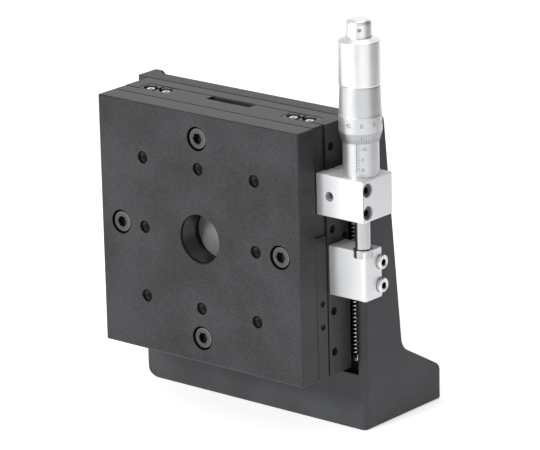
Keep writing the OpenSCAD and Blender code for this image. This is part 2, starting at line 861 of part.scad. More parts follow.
module roller_cage() {
  translate([channel_x, groove_y, 0]) difference() {
    span([-cage_t / 2, cage_t / 2], [-cage_w / 2, cage_w / 2], [-cage_half, cage_half]);
    row_z(roller_count, roller_pitch)
      cube([cage_t + cut, window_w, window_h], center = true);
  }
}

// Crossed rollers: each leans the other way than its neighbours
module rollers() {
  middle = (roller_count - 1) / 2;
  translate([channel_x, groove_y, 0]) for (i = [0:roller_count - 1])
    translate([0, 0, (i - middle) * roller_pitch])
      rotate([0, 0, i % 2 == 0 ? 45 : -45]) rotate([90, 0, 0])
        cylinder(d = roller_d, h = roller_len, center = true);
}

module roller_cage_right() {
  color("goldenrod") on_stage() roller_cage();
}

module roller_cage_left() {
  color("goldenrod") mirror([1, 0, 0]) on_stage() roller_cage();
}

module rollers_right() {
  color("silver") on_stage() rollers();
}

module rollers_left() {
  color("silver") mirror([1, 0, 0]) on_stage() rollers();
}

// Table and carriage

module table_plate() {
  color([0.12, 0.12, 0.13]) on_stage() difference() {
    chamfered_span([-half, half], [table_y, table_rear_y], [-half, half], plate_chamfer);
    rod_y(0, table_y - cut, table_rear_y + cut, 0, table_bore_d);
    translate([0, table_y + bore_chamfer, 0]) rotate([90, 0, 0])
      cylinder(d1 = table_bore_d, d2 = table_bore_d + 2 * bore_chamfer + 2 * cut, h = bore_chamfer + cut);
    at_table_screws() {
      rod_y(0, table_y - cut, table_rear_y + cut, 0, large_screw_d + 2 * pass);
      rod_y(0, table_y - cut, table_seat_y, 0, large_counterbore_d);
    }
    at_tapped_holes() {
      rod_y(0, table_y - cut, table_rear_y + cut, 0, tap_d);
      translate([0, table_y + tap_chamfer, 0]) rotate([90, 0, 0])
        cylinder(d1 = tap_d, d2 = tap_d + 2 * tap_chamfer + 2 * cut, h = tap_chamfer + cut);
    }
  }
}

module table_screws() {
  shank = ways_y - table_seat_y - tip_gap;
  color([0.15, 0.15, 0.16]) on_stage() at_table_screws() translate([0, table_seat_y, 0]) rotate([90, 0, 0])
    cap_screw(large_screw_d, shank, large_head_d, large_head_h);
}

module carriage() {
  color([0.1, 0.1, 0.11]) on_stage() difference() {
    union() {
      chamfered_span([-half, half], [table_rear_y, ways_y], [-half, half], plate_chamfer);
      span([-tongue_half, tongue_half], [ways_y - plate_chamfer, tongue_y], [-half, half]);
    }
    rod_y(0, table_rear_y - cut, table_rear_y + bore_recess, 0, table_bore_d + 2 * recess_step);
    at_table_screws() rod_y(0, table_rear_y - cut, ways_y, 0, large_screw_d + 2 * seat);
    for (s = [-1, 1]) row_z(rail_screw_count, rail_screw_pitch)
      rod_y(s * carriage_rail_screw_x, ways_y - rail_screw_grip - tip_gap, ways_y + cut, 0,
            rail_screw_d + 2 * seat);
    span([-channel_w / 2, channel_w / 2], [tongue_y - channel_d, tongue_y + cut], [-half - cut, half + cut]);
    span([-slot_w / 2, slot_w / 2], [tongue_y - slot_d, tongue_y + cut], [half - slot_h, half + cut]);
    rod_y(0, tongue_y - channel_d - inner_pin_grip, tongue_y, inner_pin_z, 2 * (inner_pin_r + seat));
    span([half - relief_d, half + cut], [table_rear_y - cut, ways_y + cut],
         [holder_z - relief_drop, half + cut]);
    for (share = holder_screw_z_share)
      rod_x(half - relief_d - holder_screw_grip - tip_gap, half + cut, holder_screw_y,
            holder_z + share * holder_h, holder_screw_d + 2 * seat);
    for (share = set_screw_z_share)
      rod_x(half - set_screw_sink - set_screw_h - tip_gap, half + cut, (table_rear_y + ways_y) / 2,
            share * half, set_screw_d + 2 * seat);
  }
}

module carriage_set_screws() {
  color([0.3, 0.3, 0.32]) on_stage() for (share = set_screw_z_share)
    translate([half - set_screw_sink, (table_rear_y + ways_y) / 2, share * half]) rotate([0, 90, 0])
      grub_screw(set_screw_d, set_screw_h);
}

// Blocks of the micrometer drive

module holder_block() {
  right = micrometer_x + holder_right;
  left = half + holder_side_gap;
  color([0.85, 0.85, 0.87]) on_stage() difference() {
    chamfered_span([half - relief_d, right], [holder_front_y, holder_rear_y], [holder_z, holder_top_z],
                   block_chamfer);
    span([half - relief_d - cut, left], [ways_y, holder_rear_y + cut], [holder_z - cut, holder_top_z + cut]);
    rod_z(micrometer_x, micrometer_y, holder_z - cut, holder_top_z + cut, stem_d + 2 * seat);
    span([half - relief_d - cut, micrometer_x], [micrometer_y - slit_w / 2, micrometer_y + slit_w / 2],
         [holder_z - cut, holder_top_z + cut]);
    for (share = holder_screw_z_share) {
      z = holder_z + share * holder_h;
      rod_x(half - relief_d - cut, right + cut, holder_screw_y, z, holder_screw_d + 2 * pass);
      rod_x(right - holder_head_h - holder_screw_sink, right + cut, holder_screw_y, z, holder_head_d + pass);
    }
    translate([half + clamp_screw_out, 0, holder_z + clamp_z_share * holder_h]) {
      rod_y(0, holder_front_y, micrometer_y, 0, clamp_screw_d + 2 * pass);
      rod_y(0, holder_front_y - cut, holder_front_y + clamp_sink + clamp_head_h, 0, clamp_head_d + pass);
      rod_y(0, micrometer_y, micrometer_y + clamp_grip + tip_gap, 0, clamp_screw_d + 2 * seat);
    }
    rod_y(spring_x, holder_rear_y - pin_grip, holder_rear_y + cut, spring_up_at_z, 2 * (pin_r + seat));
  }
}

module holder_screws() {
  right = micrometer_x + holder_right;
  seat_x = right - holder_head_h - holder_screw_sink;
  shank = seat_x - half + relief_d + holder_screw_grip;
  color([0.25, 0.25, 0.27]) on_stage() for (share = holder_screw_z_share)
    translate([seat_x, holder_screw_y, holder_z + share * holder_h]) rotate([0, 90, 0])
      cap_screw(holder_screw_d, shank, holder_head_d, holder_head_h);
}

module clamp_screw() {
  seat_y = holder_front_y + clamp_sink + clamp_head_h;
  color([0.25, 0.25, 0.27]) on_stage()
    translate([half + clamp_screw_out, seat_y, holder_z + clamp_z_share * holder_h]) rotate([90, 0, 0])
      cap_screw(clamp_screw_d, micrometer_y + clamp_grip - seat_y, clamp_head_d, clamp_head_h);
}

module anvil_block() {
  right = half + anvil_out;
  color([0.85, 0.85, 0.87]) on_stage() difference() {
    intersection() {
      along_z(anvil_z - anvil_h, anvil_z) polygon(rounded([
        [half, anvil_front_y, 0],
        [right, anvil_front_y, anvil_edge_r],
        [right, anvil_rear_y, block_chamfer],
        [half, anvil_rear_y, 0],
      ]));
      along_x(half, right) chamfered([anvil_front_y, anvil_rear_y], [anvil_z - anvil_h, anvil_z], block_chamfer);
    }
    rod_z(micrometer_x, micrometer_y, tip_z - button_h, anvil_z + cut, button_d + 2 * seat);
    for (share = anvil_screw_z_share) {
      z = anvil_z + share * anvil_h;
      rod_x(half - cut, right + cut, anvil_screw_y, z, block_screw_d + 2 * pass);
      rod_x(right - block_head_h + block_head_proud, right + cut, anvil_screw_y, z, block_head_d + pass);
    }
  }
}

module anvil_button() {
  color("silver") on_stage() rod_z(micrometer_x, micrometer_y, tip_z - button_h, tip_z, button_d);
}

module anvil_screws() {
  seat_x = half + anvil_out - block_head_h + block_head_proud;
  color("silver") on_stage() for (share = anvil_screw_z_share)
    translate([seat_x, anvil_screw_y, anvil_z + share * anvil_h]) rotate([0, 90, 0])
      cap_screw(block_screw_d, seat_x - half + anvil_screw_grip, block_head_d, block_head_h);
}

// Micrometer head, from the stem outwards

module micrometer_stem() {
  color([0.75, 0.75, 0.77]) on_micrometer() difference() {
    union() {
      rod_z(0, 0, holder_z, holder_top_z, stem_d);
      rod_z(0, 0, holder_top_z, sleeve_top_z, stem_top_d);
      rod_z(0, 0, sleeve_top_z, nut_top_z - stem_top_gap, nut_seat_d);
    }
    rod_z(0, 0, holder_z - cut, guide_top_z + cut, spindle_d + 2 * spindle_play);
    rod_z(0, 0, guide_top_z, nut_thread_z, stem_relief_d);
    rod_z(0, 0, nut_thread_z - cut, nut_top_z + cut, thread_d + 2 * spindle_play);
  }
}

module scale_sleeve() {
  color([0.82, 0.82, 0.84]) on_micrometer()
    tube_z(holder_top_z, sleeve_top_z, sleeve_d, stem_top_d + 2 * seat);
}

module adjusting_nut() {
  color([0.7, 0.7, 0.72]) on_micrometer() tube_z(nut_z, nut_top_z, stem_top_d, nut_seat_d + 2 * seat);
}

module spindle() {
  r = spindle_d / 2;
  color("silver") on_micrometer() difference() {
    union() {
      rotate_extrude() polygon([
        [0, tip_z],
        [r - tip_chamfer, tip_z],
        [r, tip_z + tip_chamfer],
        [r, thread_z],
        [0, thread_z],
      ]);
      rod_z(0, 0, thread_z, web_z, thread_d);
      rod_z(0, 0, web_z, web_top_z, spindle_top_d);
    }
    rod_z(0, 0, web_top_z - stud_h - tip_gap, web_top_z + cut, stud_d + 2 * seat);
  }
}

module thimble() {
  band_top = thimble_z + bevel_h + band_h;
  step_top = band_top + 2 * band_step;
  color([0.8, 0.8, 0.82]) on_micrometer() difference() {
    rotate_extrude() polygon([
      [0, thimble_z],
      [bevel_low_d / 2, thimble_z],
      [band_d / 2, thimble_z + bevel_h],
      [band_d / 2, band_top],
      [band_d / 2 - band_step, step_top],
      [thimble_top_d / 2, thimble_top_z],
      [neck_low_d / 2, thimble_top_z],
      [neck_low_d / 2, neck_step_z],
      [neck_d / 2, neck_step_z],
      [neck_d / 2, neck_top_z],
      [0, neck_top_z],
    ]);
    rod_z(0, 0, thimble_z - cut, cavity_top_z, sleeve_d + 2 * thimble_play);
    rod_z(0, 0, thimble_z, web_z, stem_top_d + 4 * thimble_play);
    rod_z(0, 0, web_z - cut, web_top_z + cut, spindle_top_d + 2 * seat);
    rod_z(0, 0, web_top_z, neck_top_z + cut, cap_d + 2 * neck_bore_play);
  }
}

module knob_cover() {
  r = knob_d / 2;
  color([0.85, 0.85, 0.87]) on_micrometer() difference() {
    rotate_extrude() polygon([
      [0, thimble_top_z],
      [r - knob_rim, thimble_top_z],
      [r, thimble_top_z + knob_rim],
      [r, knob_top_z - knob_cone_h],
      [r - knob_cone_w, knob_top_z],
      [0, knob_top_z],
    ]);
    rod_z(0, 0, thimble_top_z - cut, neck_step_z + seat, neck_low_d + 2 * seat);
    rod_z(0, 0, thimble_top_z - cut, neck_top_z + roof_gap, neck_d + 2 * seat);
    rod_z(0, 0, neck_top_z, knob_top_z + cut, cap_d + 2 * neck_bore_play);
  }
}

module end_cap() {
  r = cap_d / 2;
  hole_z = (knob_top_z + cap_top_z) / 2;
  color([0.85, 0.85, 0.87]) on_micrometer() difference() {
    union() {
      rotate_extrude() {
        translate([0, web_top_z]) square([r, cap_top_z - cap_edge_r - web_top_z]);
        translate([0, web_top_z]) square([r - cap_edge_r, cap_top_z - web_top_z]);
        intersection() {
          translate([r - cap_edge_r, cap_top_z - cap_edge_r]) circle(r = cap_edge_r);
          translate([0, web_top_z]) square([r, cap_top_z - web_top_z]);
        }
      }
      rod_z(0, 0, web_top_z - stud_h, web_top_z + cut, stud_d);
    }
    for (a = [40:90:310]) rotate([0, 0, a - 90])
      rod_x(r - spanner_hole_h, r + cut, 0, hole_z, spanner_hole_d);
  }
}

// Springs: each is one wire swept along a path, a helix between two hooks round the pins.
// The path's lower pin is at the origin and its upper pin is at the height of its span.

function on_cylinder(r, a, z) = [r * cos(a), r * sin(a), z];

function spring_path(r, wire, curls, length) =
  let (
    leg = r + wire,
    bend_r = wire,
    pitch = (length - 2 * leg) / (curls + 1),
    bend_a = bend_r / r * 180 / PI,
    helix_a = 360 * curls - 2 * bend_a,
    low = leg + bend_r,
    rise = length - 2 * low,
    rings = curl_rings * curls,
    lower_hook = [for (i = [0:hook_steps]) let (a = -hook_angle * (1 - i / hook_steps)) [r * cos(a), 0, r * sin(a)]],
    lower_bend = [
      for (i = [0:bend_steps - 1]) let (b = 90 * i / bend_steps)
        on_cylinder(r, bend_a * (1 - cos(b)), leg + bend_r * sin(b))
    ],
    helix = [for (i = [0:rings]) on_cylinder(r, bend_a + helix_a * i / rings, low + rise * i / rings)]
  )
  let (
    half_path = concat(lower_hook, lower_bend),
    upper = [for (i = [len(half_path) - 1:-1:0]) [half_path[i][0], -half_path[i][1], length - half_path[i][2]]]
  )
  concat(half_path, helix, upper);

function tangents(path) = let (last = len(path) - 1) [
  for (i = [0:last]) unit(path[min(i + 1, last)] - path[max(i - 1, 0)])
];

function off_axis(v, t) = unit(v - (v * t) * t);

// Normals that turn with the path as little as they can
function normals(t) = [
  for (i = 0, n = off_axis([0, 1, 0], t[0]); i < len(t); i = i + 1, n = i < len(t) ? off_axis(n, t[i]) : n) n
];

module wire_along(path, wire) {
  t = tangents(path);
  n = normals(t);
  rings = len(path);
  points = [
    for (i = [0:rings - 1], k = [0:wire_sides - 1])
      let (a = 360 * k / wire_sides) path[i] + (n[i] * cos(a) + cross(t[i], n[i]) * sin(a)) * wire / 2
  ];
  sides = [
    for (i = [0:rings - 2], k = [0:wire_sides - 1])
      let (
        next = (k + 1) % wire_sides,
        a = i * wire_sides + k,
        b = i * wire_sides + next,
        c = b + wire_sides,
        d = a + wire_sides
      )
      each [[a, d, b], [b, d, c]]
  ];
  caps = [
    for (k = [1:wire_sides - 2])
      each [[0, k, k + 1], [(rings - 1) * wire_sides, rings * wire_sides - k, rings * wire_sides - k - 1]]
  ];
  polyhedron(points, concat(sides, caps));
}

// Least distance between two stretches of the path that are some rings apart, less the wire
function least_gap(path, wire) = min([
  for (i = [0:len(path) - rings_apart - 1])
    min([for (j = [i + rings_apart:len(path) - 1]) norm(path[i] - path[j])])
]) - wire;

return_path = spring_path(spring_r, spring_wire_d, spring_curls, spring_span);
inner_path = spring_path(inner_r, inner_wire_d, inner_curls, inner_span);
echo(return_spring_gap = least_gap(return_path, spring_wire_d));
echo(inner_spring_gap = least_gap(inner_path, inner_wire_d));

module return_spring() {
  color("silver") on_stage() translate([spring_x, spring_y, spring_low_at_z])
    wire_along(return_path, spring_wire_d);
}

module inner_spring() {
  color("silver") on_stage() translate([0, inner_y, -inner_pin_z]) wire_along(inner_path, inner_wire_d);
}

module lower_spring_pins() {
  color("silver") on_stage() {
    rod_y(spring_x, spring_y - pin_tail, upright_y + pocket_d + pin_grip - tip_gap, spring_low_at_z, 2 * pin_r);
    rod_y(0, inner_y - pin_tail, base_y + inner_pin_grip, -inner_pin_z, 2 * inner_pin_r);
  }
}

module upper_spring_pins() {
  color("silver") on_stage() {
    rod_y(spring_x, holder_rear_y - pin_grip + tip_gap, spring_y + pin_tail, spring_up_at_z, 2 * pin_r);
    rod_y(0, tongue_y - channel_d - inner_pin_grip, inner_y + pin_tail, inner_pin_z, 2 * inner_pin_r);
  }
}

bracket();
base_plate();
base_screws();
base_dowels();
base_rail_left();
base_rail_right();
base_rail_screws();
base_stop_screws();
preload_screws();
anvil_block();
anvil_button();
anvil_screws();
lower_spring_pins();
return_spring();
inner_spring();
table_plate();
table_screws();
carriage();
carriage_rail_left();
carriage_rail_right();
carriage_rail_screws();
carriage_stop_screws();
carriage_set_screws();
upper_spring_pins();
holder_block();
holder_screws();
clamp_screw();
micrometer_stem();
scale_sleeve();
adjusting_nut();
spindle();
thimble();
knob_cover();
end_cap();
roller_cage_left();
roller_cage_right();
rollers_left();
rollers_right();
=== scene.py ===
"""Looks of a vertical crossed-roller stage with a micrometer head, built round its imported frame.

Every length in a dataclass or a constant is in millimetres. Meshes are drawn in millimetres in the
frame's own axes (X right, Y back, Z up) and scaled to metres when they become objects.
"""

import logging
import math
from collections.abc import Callable, Iterable, Sequence
from dataclasses import dataclass, replace
from enum import Enum

import bmesh
import bpy
from mathutils import Euler, Matrix, Vector


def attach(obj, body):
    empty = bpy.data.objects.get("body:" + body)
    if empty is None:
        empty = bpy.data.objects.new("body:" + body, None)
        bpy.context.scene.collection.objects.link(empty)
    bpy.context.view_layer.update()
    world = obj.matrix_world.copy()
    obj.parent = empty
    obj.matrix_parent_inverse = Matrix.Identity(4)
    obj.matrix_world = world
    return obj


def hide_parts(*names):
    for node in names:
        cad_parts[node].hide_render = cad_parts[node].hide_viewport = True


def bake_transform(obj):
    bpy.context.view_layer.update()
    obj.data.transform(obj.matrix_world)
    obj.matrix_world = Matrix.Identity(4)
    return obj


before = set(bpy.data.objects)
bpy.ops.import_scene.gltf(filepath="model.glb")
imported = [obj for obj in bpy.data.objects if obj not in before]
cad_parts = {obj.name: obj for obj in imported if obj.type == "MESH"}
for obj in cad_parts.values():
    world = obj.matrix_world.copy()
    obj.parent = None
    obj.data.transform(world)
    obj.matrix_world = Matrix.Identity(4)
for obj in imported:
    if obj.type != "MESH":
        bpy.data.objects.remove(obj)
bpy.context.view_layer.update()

LOG = logging.getLogger("stage")
MM = 0.001
STAGE_Z = 93.5
GROOVE_Y = -42.0
SAME_PLACE = 1e-5
SAME_CIRCLE = 0.004
SMALLEST_CIRCLE = 0.5
SECTOR = math.pi / 3
FLAT_ANGLE = 0.4
TURNED_STEP = 3.0
WALL_SKIN = 0.3
FLOOR_SKIN = 0.05
LEVEL_NORMAL = 0.9
# Material indices: MAIN the finish; EDGE the lighter edge, worn on plates and a painted highlight on screw
# rims; PAINTED_DARK the painted shade on the walls of holes, slots, pockets and sockets, and the darker
# thimble bevel, a painted dark reflection; BARE the bare recess floor.
MAIN, EDGE, PAINTED_DARK, BARE = range(4)

Pair = tuple[float, float]
Spot = tuple[float, float, float]
Colour = tuple[float, float, float]
Face = bmesh.types.BMFace
Paint = Callable[[Face], int]
Input = "Value | bpy.types.NodeSocket | float | Sequence[float]"
Inputs = dict[str | int, Input]


class Value:
    """A socket of a graph's nodes, with Python's operators as Math nodes."""

    def __init__(self, graph: "Graph", socket: bpy.types.NodeSocket) -> None:
        """Keeps the socket and the graph that new nodes go into."""
        self.graph = graph
        self.socket = socket

    def _math(self, operation: str, *terms: "Value | float") -> "Value":
        """The result of a new Math node on the terms, in order."""
        return self.graph.value("ShaderNodeMath", {"operation": operation}, dict(enumerate(terms)))

    def __add__(self, other: "Value | float") -> "Value":
        """Sum of two values."""
        return self._math("ADD", self, other)

    def __radd__(self, other: float) -> "Value":
        """Sum with a number on the left."""
        return self._math("ADD", other, self)

    def __sub__(self, other: "Value | float") -> "Value":
        """Difference of two values."""
        return self._math("SUBTRACT", self, other)

    def __rsub__(self, other: float) -> "Value":
        """Difference with a number on the left."""
        return self._math("SUBTRACT", other, self)

    def __mul__(self, other: "Value | float") -> "Value":
        """Product of two values."""
        return self._math("MULTIPLY", self, other)

    def __rmul__(self, other: float) -> "Value":
        """Product with a number on the left."""
        return self._math("MULTIPLY", other, self)

    def ramp(self, low: float, high: float) -> "Value":
        """A smooth step of this value, from zero at low to one at high."""
        terms = {"Value": self, "From Min": low, "From Max": high}
        return self.graph.value("ShaderNodeMapRange", {"interpolation_type": "SMOOTHSTEP"}, terms)


class Graph:
    """The node tree of a material or of the world, filled through one method."""

    def __init__(self, owner: bpy.types.ID) -> None:
        """Empties the owner's nodes.

        Args:
            owner: The material or the world.
        """
        owner.use_nodes = True
        self.owner = owner
        self.tree = owner.node_tree
        self.tree.nodes.clear()

    def fill(self, node: bpy.types.Node, inputs: Inputs) -> None:
        """Fills some of a node's input sockets.

        Args:
            node: The node.
            inputs: A number, a row of numbers, a socket or a value for each socket.
        """
        for key, given in inputs.items():
            link = given.socket if isinstance(given, Value) else given
            if isinstance(link, bpy.types.NodeSocket):
                self.tree.links.new(link, node.inputs[key])
            else:
                node.inputs[key].default_value = link

    def node(self, kind: str, settings: dict[str, object], inputs: Inputs) -> bpy.types.Node:
        """Adds one node of any type.

        Args:
            kind: Blender's type name of the node.
            settings: Its settings, set before its inputs are filled.
            inputs: What goes into its input sockets.

        Returns:
            The new node.
        """
        made = self.tree.nodes.new(kind)
        for key, setting in settings.items():
            setattr(made, key, setting)
        self.fill(made, inputs)
        return made

    def value(self, kind: str, settings: dict[str, object], inputs: Inputs) -> Value:
        """The first output of a new node, which is asked for as in node()."""
        return Value(self, self.node(kind, settings, inputs).outputs[0])


class Surface(Graph):
    """The nodes of one material, round its main shader."""

    def __init__(self, name: str) -> None:
        """Makes the material with a Principled shader and an output.

        Args:
            name: The material's name.
        """
        super().__init__(bpy.data.materials.new(name))
        self.shader = self.node("ShaderNodeBsdfPrincipled", {}, {})
        self.node("ShaderNodeOutputMaterial", {}, {"Surface": self.shader.outputs[0]})
        self.spot = self.node("ShaderNodeTexCoord", {}, {}).outputs["Object"]

    def noise(self, per_mm: Sequence[float], detail: float, rough: float = 0.55) -> Value:
        """Fractal noise over the object.

        Args:
            per_mm: Units of the noise in a millimetre along X, Y and Z.
            detail: Number of octaves.
            rough: Share that each octave keeps.

        Returns:
            A value round a half.
        """
        scale = {0: self.spot, 1: [units / MM for units in per_mm]}
        spot = self.value("ShaderNodeVectorMath", {"operation": "MULTIPLY"}, scale)
        terms = {"Vector": spot, "Scale": 1.0, "Detail": detail, "Roughness": rough}
        return self.value("ShaderNodeTexNoise", {}, terms)

    def mix(self, low: Input, high: Input, share: Value) -> Value:
        """Two colours, mixed by the share of the second."""
        made = self.node("ShaderNodeMix", {"data_type": "RGBA"}, {0: share, 6: low, 7: high})
        return Value(self, made.outputs[2])

    def bump(self, height: Value, distance: float) -> Value:
        """The normal that a height bends, where a height of one is this many millimetres."""
        terms = {"Strength": 1.0, "Distance": distance * MM, "Height": height}
        return self.value("ShaderNodeBump", {}, terms)


class Grain(Enum):
    """How a surface was made, which sets the direction and stretch of its grain."""

    CAST = (1.0, 1.0, 1.0)
    GROUND_X = (0.03, 1.0, 1.0)
    GROUND_Z = (1.0, 1.0, 0.03)
    TURNED = (0.06, 0.06, 1.0)


def rgba(colour: Colour) -> tuple[float, float, float, float]:
    """The colour with full alpha."""
    return (*colour, 1.0)


PATCH_STEP = (0.3, 0.7)
GRAIN_STEP = (0.34, 0.66)
PATCH_TINT_SHARE = 0.5
PATCH_GLOSS_SHARE = 0.35
STREAK_PER_MM = (0.05, 0.9, 1.1)
STREAK_STEP = (0.6, 0.74)
RUBBED_PER_MM = (0.04, 0.04, 0.04)
RUBBED_STEP = (0.45, 0.75)
SCUFF_SHINE = 0.1
EDGE_SHINE = 0.95


@dataclass(frozen=True)
class Finish:
    """A surface finish: two tints that drift into each other, its gloss and its grain."""

    name: str
    tint: Colour
    drift: Colour
    metallic: float = 0.0
    gloss: Pair = (0.35, 0.5)
    grain: Grain = Grain.CAST
    grain_size: float = 0.25
    relief: float = 0.004
    patch_size: float = 18.0
    scuff: float = 0.0
    # The tint of scuffs and of lighter edges; on the screws' rims it is a painted highlight.
    scuff_and_sheen_tint: Colour = (0.5, 0.5, 0.52)
    specular: float = 0.5

    def edge_wear_and_sheen(self, lift: float) -> "Finish":
        """The same finish on a lighter edge: rubbed wear on plates and castings, and a painted highlight on
        screw rims.

        Args:
            lift: How much of the scuff-and-sheen tint shows, from zero to one.

        Returns:
            The finish for the edge.
        """
        tint, drift = (tuple(a + (b - a) * lift for a, b in zip(shade, self.scuff_and_sheen_tint))
                       for shade in (self.tint, self.drift))
        gloss = tuple(rough * EDGE_SHINE for rough in self.gloss)
        return replace(self, name=f"{self.name}_edge", tint=tint, drift=drift, gloss=gloss)

    def material(self) -> bpy.types.Material:
        """Builds the material, or gives the one that is already there.

        Returns:
            The material of this finish.
        """
        name = f"{self.name}_look"
        known = bpy.data.materials.get(name)
        if known:
            return known
        made = Surface(name)
        patches = made.noise([1 / self.patch_size] * 3, detail=4.0).ramp(*PATCH_STEP)
        grain = made.noise([s / self.grain_size for s in self.grain.value], detail=4.0, rough=0.6)
        drift = patches * PATCH_TINT_SHARE + grain.ramp(*GRAIN_STEP) * (1 - PATCH_TINT_SHARE)
        colour = made.mix(rgba(self.tint), rgba(self.drift), drift)
        low, high = self.gloss
        rough = low + (patches * PATCH_GLOSS_SHARE + grain * (1 - PATCH_GLOSS_SHARE)) * (high - low)
        if self.scuff:
            streaks = made.noise(STREAK_PER_MM, detail=5.0, rough=0.7).ramp(*STREAK_STEP)
            mask = streaks * made.noise(RUBBED_PER_MM, detail=2.0).ramp(*RUBBED_STEP) * self.scuff
            colour = made.mix(colour, rgba(self.scuff_and_sheen_tint), mask)
            rough = rough - mask * SCUFF_SHINE
        made.fill(made.shader, {
            "Base Color": colour, "Roughness": rough, "Normal": made.bump(grain, self.relief),
            "Metallic": self.metallic, "Specular IOR Level": self.specular,
        })
        return made.owner


CAST_COATING = Finish(
    "cast_coating", (0.02, 0.021, 0.024), (0.054, 0.056, 0.06), gloss=(0.48, 0.62), grain_size=0.6,
    relief=0.035, patch_size=30.0, scuff=0.2, scuff_and_sheen_tint=(0.13, 0.134, 0.142), specular=0.4,
)
BLACK_FACE = Finish(
    "black_anodised_face", (0.006, 0.006, 0.007), (0.04, 0.04, 0.043), gloss=(0.38, 0.5), grain_size=0.75,
    relief=0.02, patch_size=34.0, scuff=0.15, scuff_and_sheen_tint=(0.09, 0.09, 0.1), specular=0.34,
)
# Painted shade: a near-black finish, darker than the black face, on the walls of holes, slots, pockets and
# sockets.
HOLE_PAINTED_SHADE = Finish(
    "hole_wall_painted_shade", (0.006, 0.006, 0.007), (0.011, 0.011, 0.012), gloss=(0.42, 0.56),
    relief=0.003, patch_size=3.0, specular=0.15,
)
# Painted shade: the thread ridges inside the tapped holes and the bore are near-black so that they look
# unlit.
THREAD_PAINTED_SHADE = Finish(
    "thread_painted_shade", (0.007, 0.007, 0.008), (0.012, 0.012, 0.013), gloss=(0.2, 0.32),
    relief=0.002, patch_size=3.0,
)
BARE_FACE = Finish(
    "bare_machined_face", (0.3, 0.3, 0.31), (0.38, 0.38, 0.385), metallic=0.6, gloss=(0.32, 0.45),
    grain=Grain.GROUND_X, grain_size=0.3, relief=0.006, patch_size=6.0,
)
RAIL_STEEL = Finish(
    "rail_steel", (0.05, 0.05, 0.052), (0.08, 0.08, 0.083), metallic=0.6, gloss=(0.32, 0.44),
    grain=Grain.GROUND_Z, grain_size=0.3, relief=0.003, patch_size=12.0, scuff_and_sheen_tint=(0.55, 0.55, 0.56),
)
# The scuff-and-sheen tint of this finish only feeds the painted highlight on black screw rims.
BLACK_OXIDE = Finish(
    "black_oxide", (0.02, 0.02, 0.022), (0.03, 0.03, 0.033), gloss=(0.26, 0.4), grain_size=0.2,
    patch_size=4.0, scuff_and_sheen_tint=(0.22, 0.22, 0.23), specular=0.7,
)
# The scuff-and-sheen tint of this finish only feeds the painted highlight on bright screw rims.
BRIGHT_STEEL = Finish(
    "bright_screw_steel", (0.6, 0.6, 0.6), (0.7, 0.7, 0.7), metallic=1.0, gloss=(0.2, 0.34),
    relief=0.003, patch_size=4.0, scuff_and_sheen_tint=(0.85, 0.85, 0.85),
)
SILVER_FACE = Finish(
    "silver_anodised_face", (0.76, 0.765, 0.775), (0.82, 0.825, 0.83), metallic=0.5, gloss=(0.38, 0.5),
    grain=Grain.GROUND_X, grain_size=0.3, patch_size=16.0, scuff_and_sheen_tint=(0.95, 0.95, 0.95),
)
SATIN_CHROME = Finish(
    "satin_chrome", (0.54, 0.545, 0.55), (0.64, 0.645, 0.65), metallic=0.85, gloss=(0.34, 0.46),
    grain=Grain.TURNED, grain_size=0.16, relief=0.0015, patch_size=12.0, scuff_and_sheen_tint=(0.9, 0.9, 0.9),
)
POLISHED_CHROME = Finish(
    "polished_chrome", (0.78, 0.78, 0.785), (0.83, 0.83, 0.835), metallic=0.92, gloss=(0.3, 0.4),
    grain=Grain.TURNED, relief=0.0006, patch_size=14.0, scuff_and_sheen_tint=(0.95, 0.95, 0.95),
)
# A rougher chrome whose darker tint is a painted dark reflection on the thimble's bevel.
BEVEL_PAINTED_DARK = Finish(
    "rough_bevel_chrome_painted_dark", (0.38, 0.385, 0.395), (0.44, 0.445, 0.455), metallic=1.0, gloss=(0.38, 0.48),
    grain=Grain.TURNED, grain_size=0.16, relief=0.0015, patch_size=12.0,
)
TOOL_STEEL = Finish(
    "ground_tool_steel", (0.42, 0.42, 0.425), (0.52, 0.52, 0.525), metallic=1.0, gloss=(0.18, 0.3),
    grain=Grain.TURNED, grain_size=0.14, relief=0.002, patch_size=8.0, scuff_and_sheen_tint=(0.8, 0.8, 0.8),
)
SPRING_WIRE = Finish(
    "spring_wire", (0.78, 0.78, 0.79), (0.86, 0.86, 0.87), metallic=1.0, gloss=(0.26, 0.4),
    grain_size=0.1, relief=0.001, patch_size=3.0,
)
CAGE_BRASS = Finish(
    "cage_brass", (0.55, 0.38, 0.15), (0.63, 0.45, 0.2), metallic=1.0, gloss=(0.26, 0.4),
    grain=Grain.GROUND_Z, grain_size=0.2, relief=0.002, patch_size=6.0,
)
SCALE_INK = Finish(
    "scale_ink", (0.05, 0.05, 0.055), (0.09, 0.09, 0.095), gloss=(0.45, 0.6), grain_size=0.08,
    relief=0.001, patch_size=1.5,
)


class Plating(Enum):
    """The two kinds of screws: their slot name and their finish."""

    BLACK = ("black_screw", BLACK_OXIDE)
    BRIGHT = ("bright_screw", BRIGHT_STEEL)


class Facing(Enum):
    """Where the head of a screw points."""

    FRONT = Matrix.Rotation(math.radians(90), 4, "X")
    BACK = Matrix.Rotation(math.radians(-90), 4, "X")
    RIGHT = Matrix.Rotation(math.radians(90), 4, "Y")
    UP = Matrix.Identity(4)
    DOWN = Matrix.Rotation(math.radians(180), 4, "X")


def seat(spot: Sequence[float], facing: Facing) -> Matrix:
    """The matrix from a screw's own axes to its seat at a spot, with its head facing that way."""
    return Matrix.Translation(Vector(spot)) @ facing.value


def put_in_scene(name: str, data: bpy.types.ID) -> bpy.types.Object:
    """The new object of this mesh, text, lamp or camera, linked to the scene."""
    made = bpy.data.objects.new(name, data)
    bpy.context.scene.collection.objects.link(made)
    return made


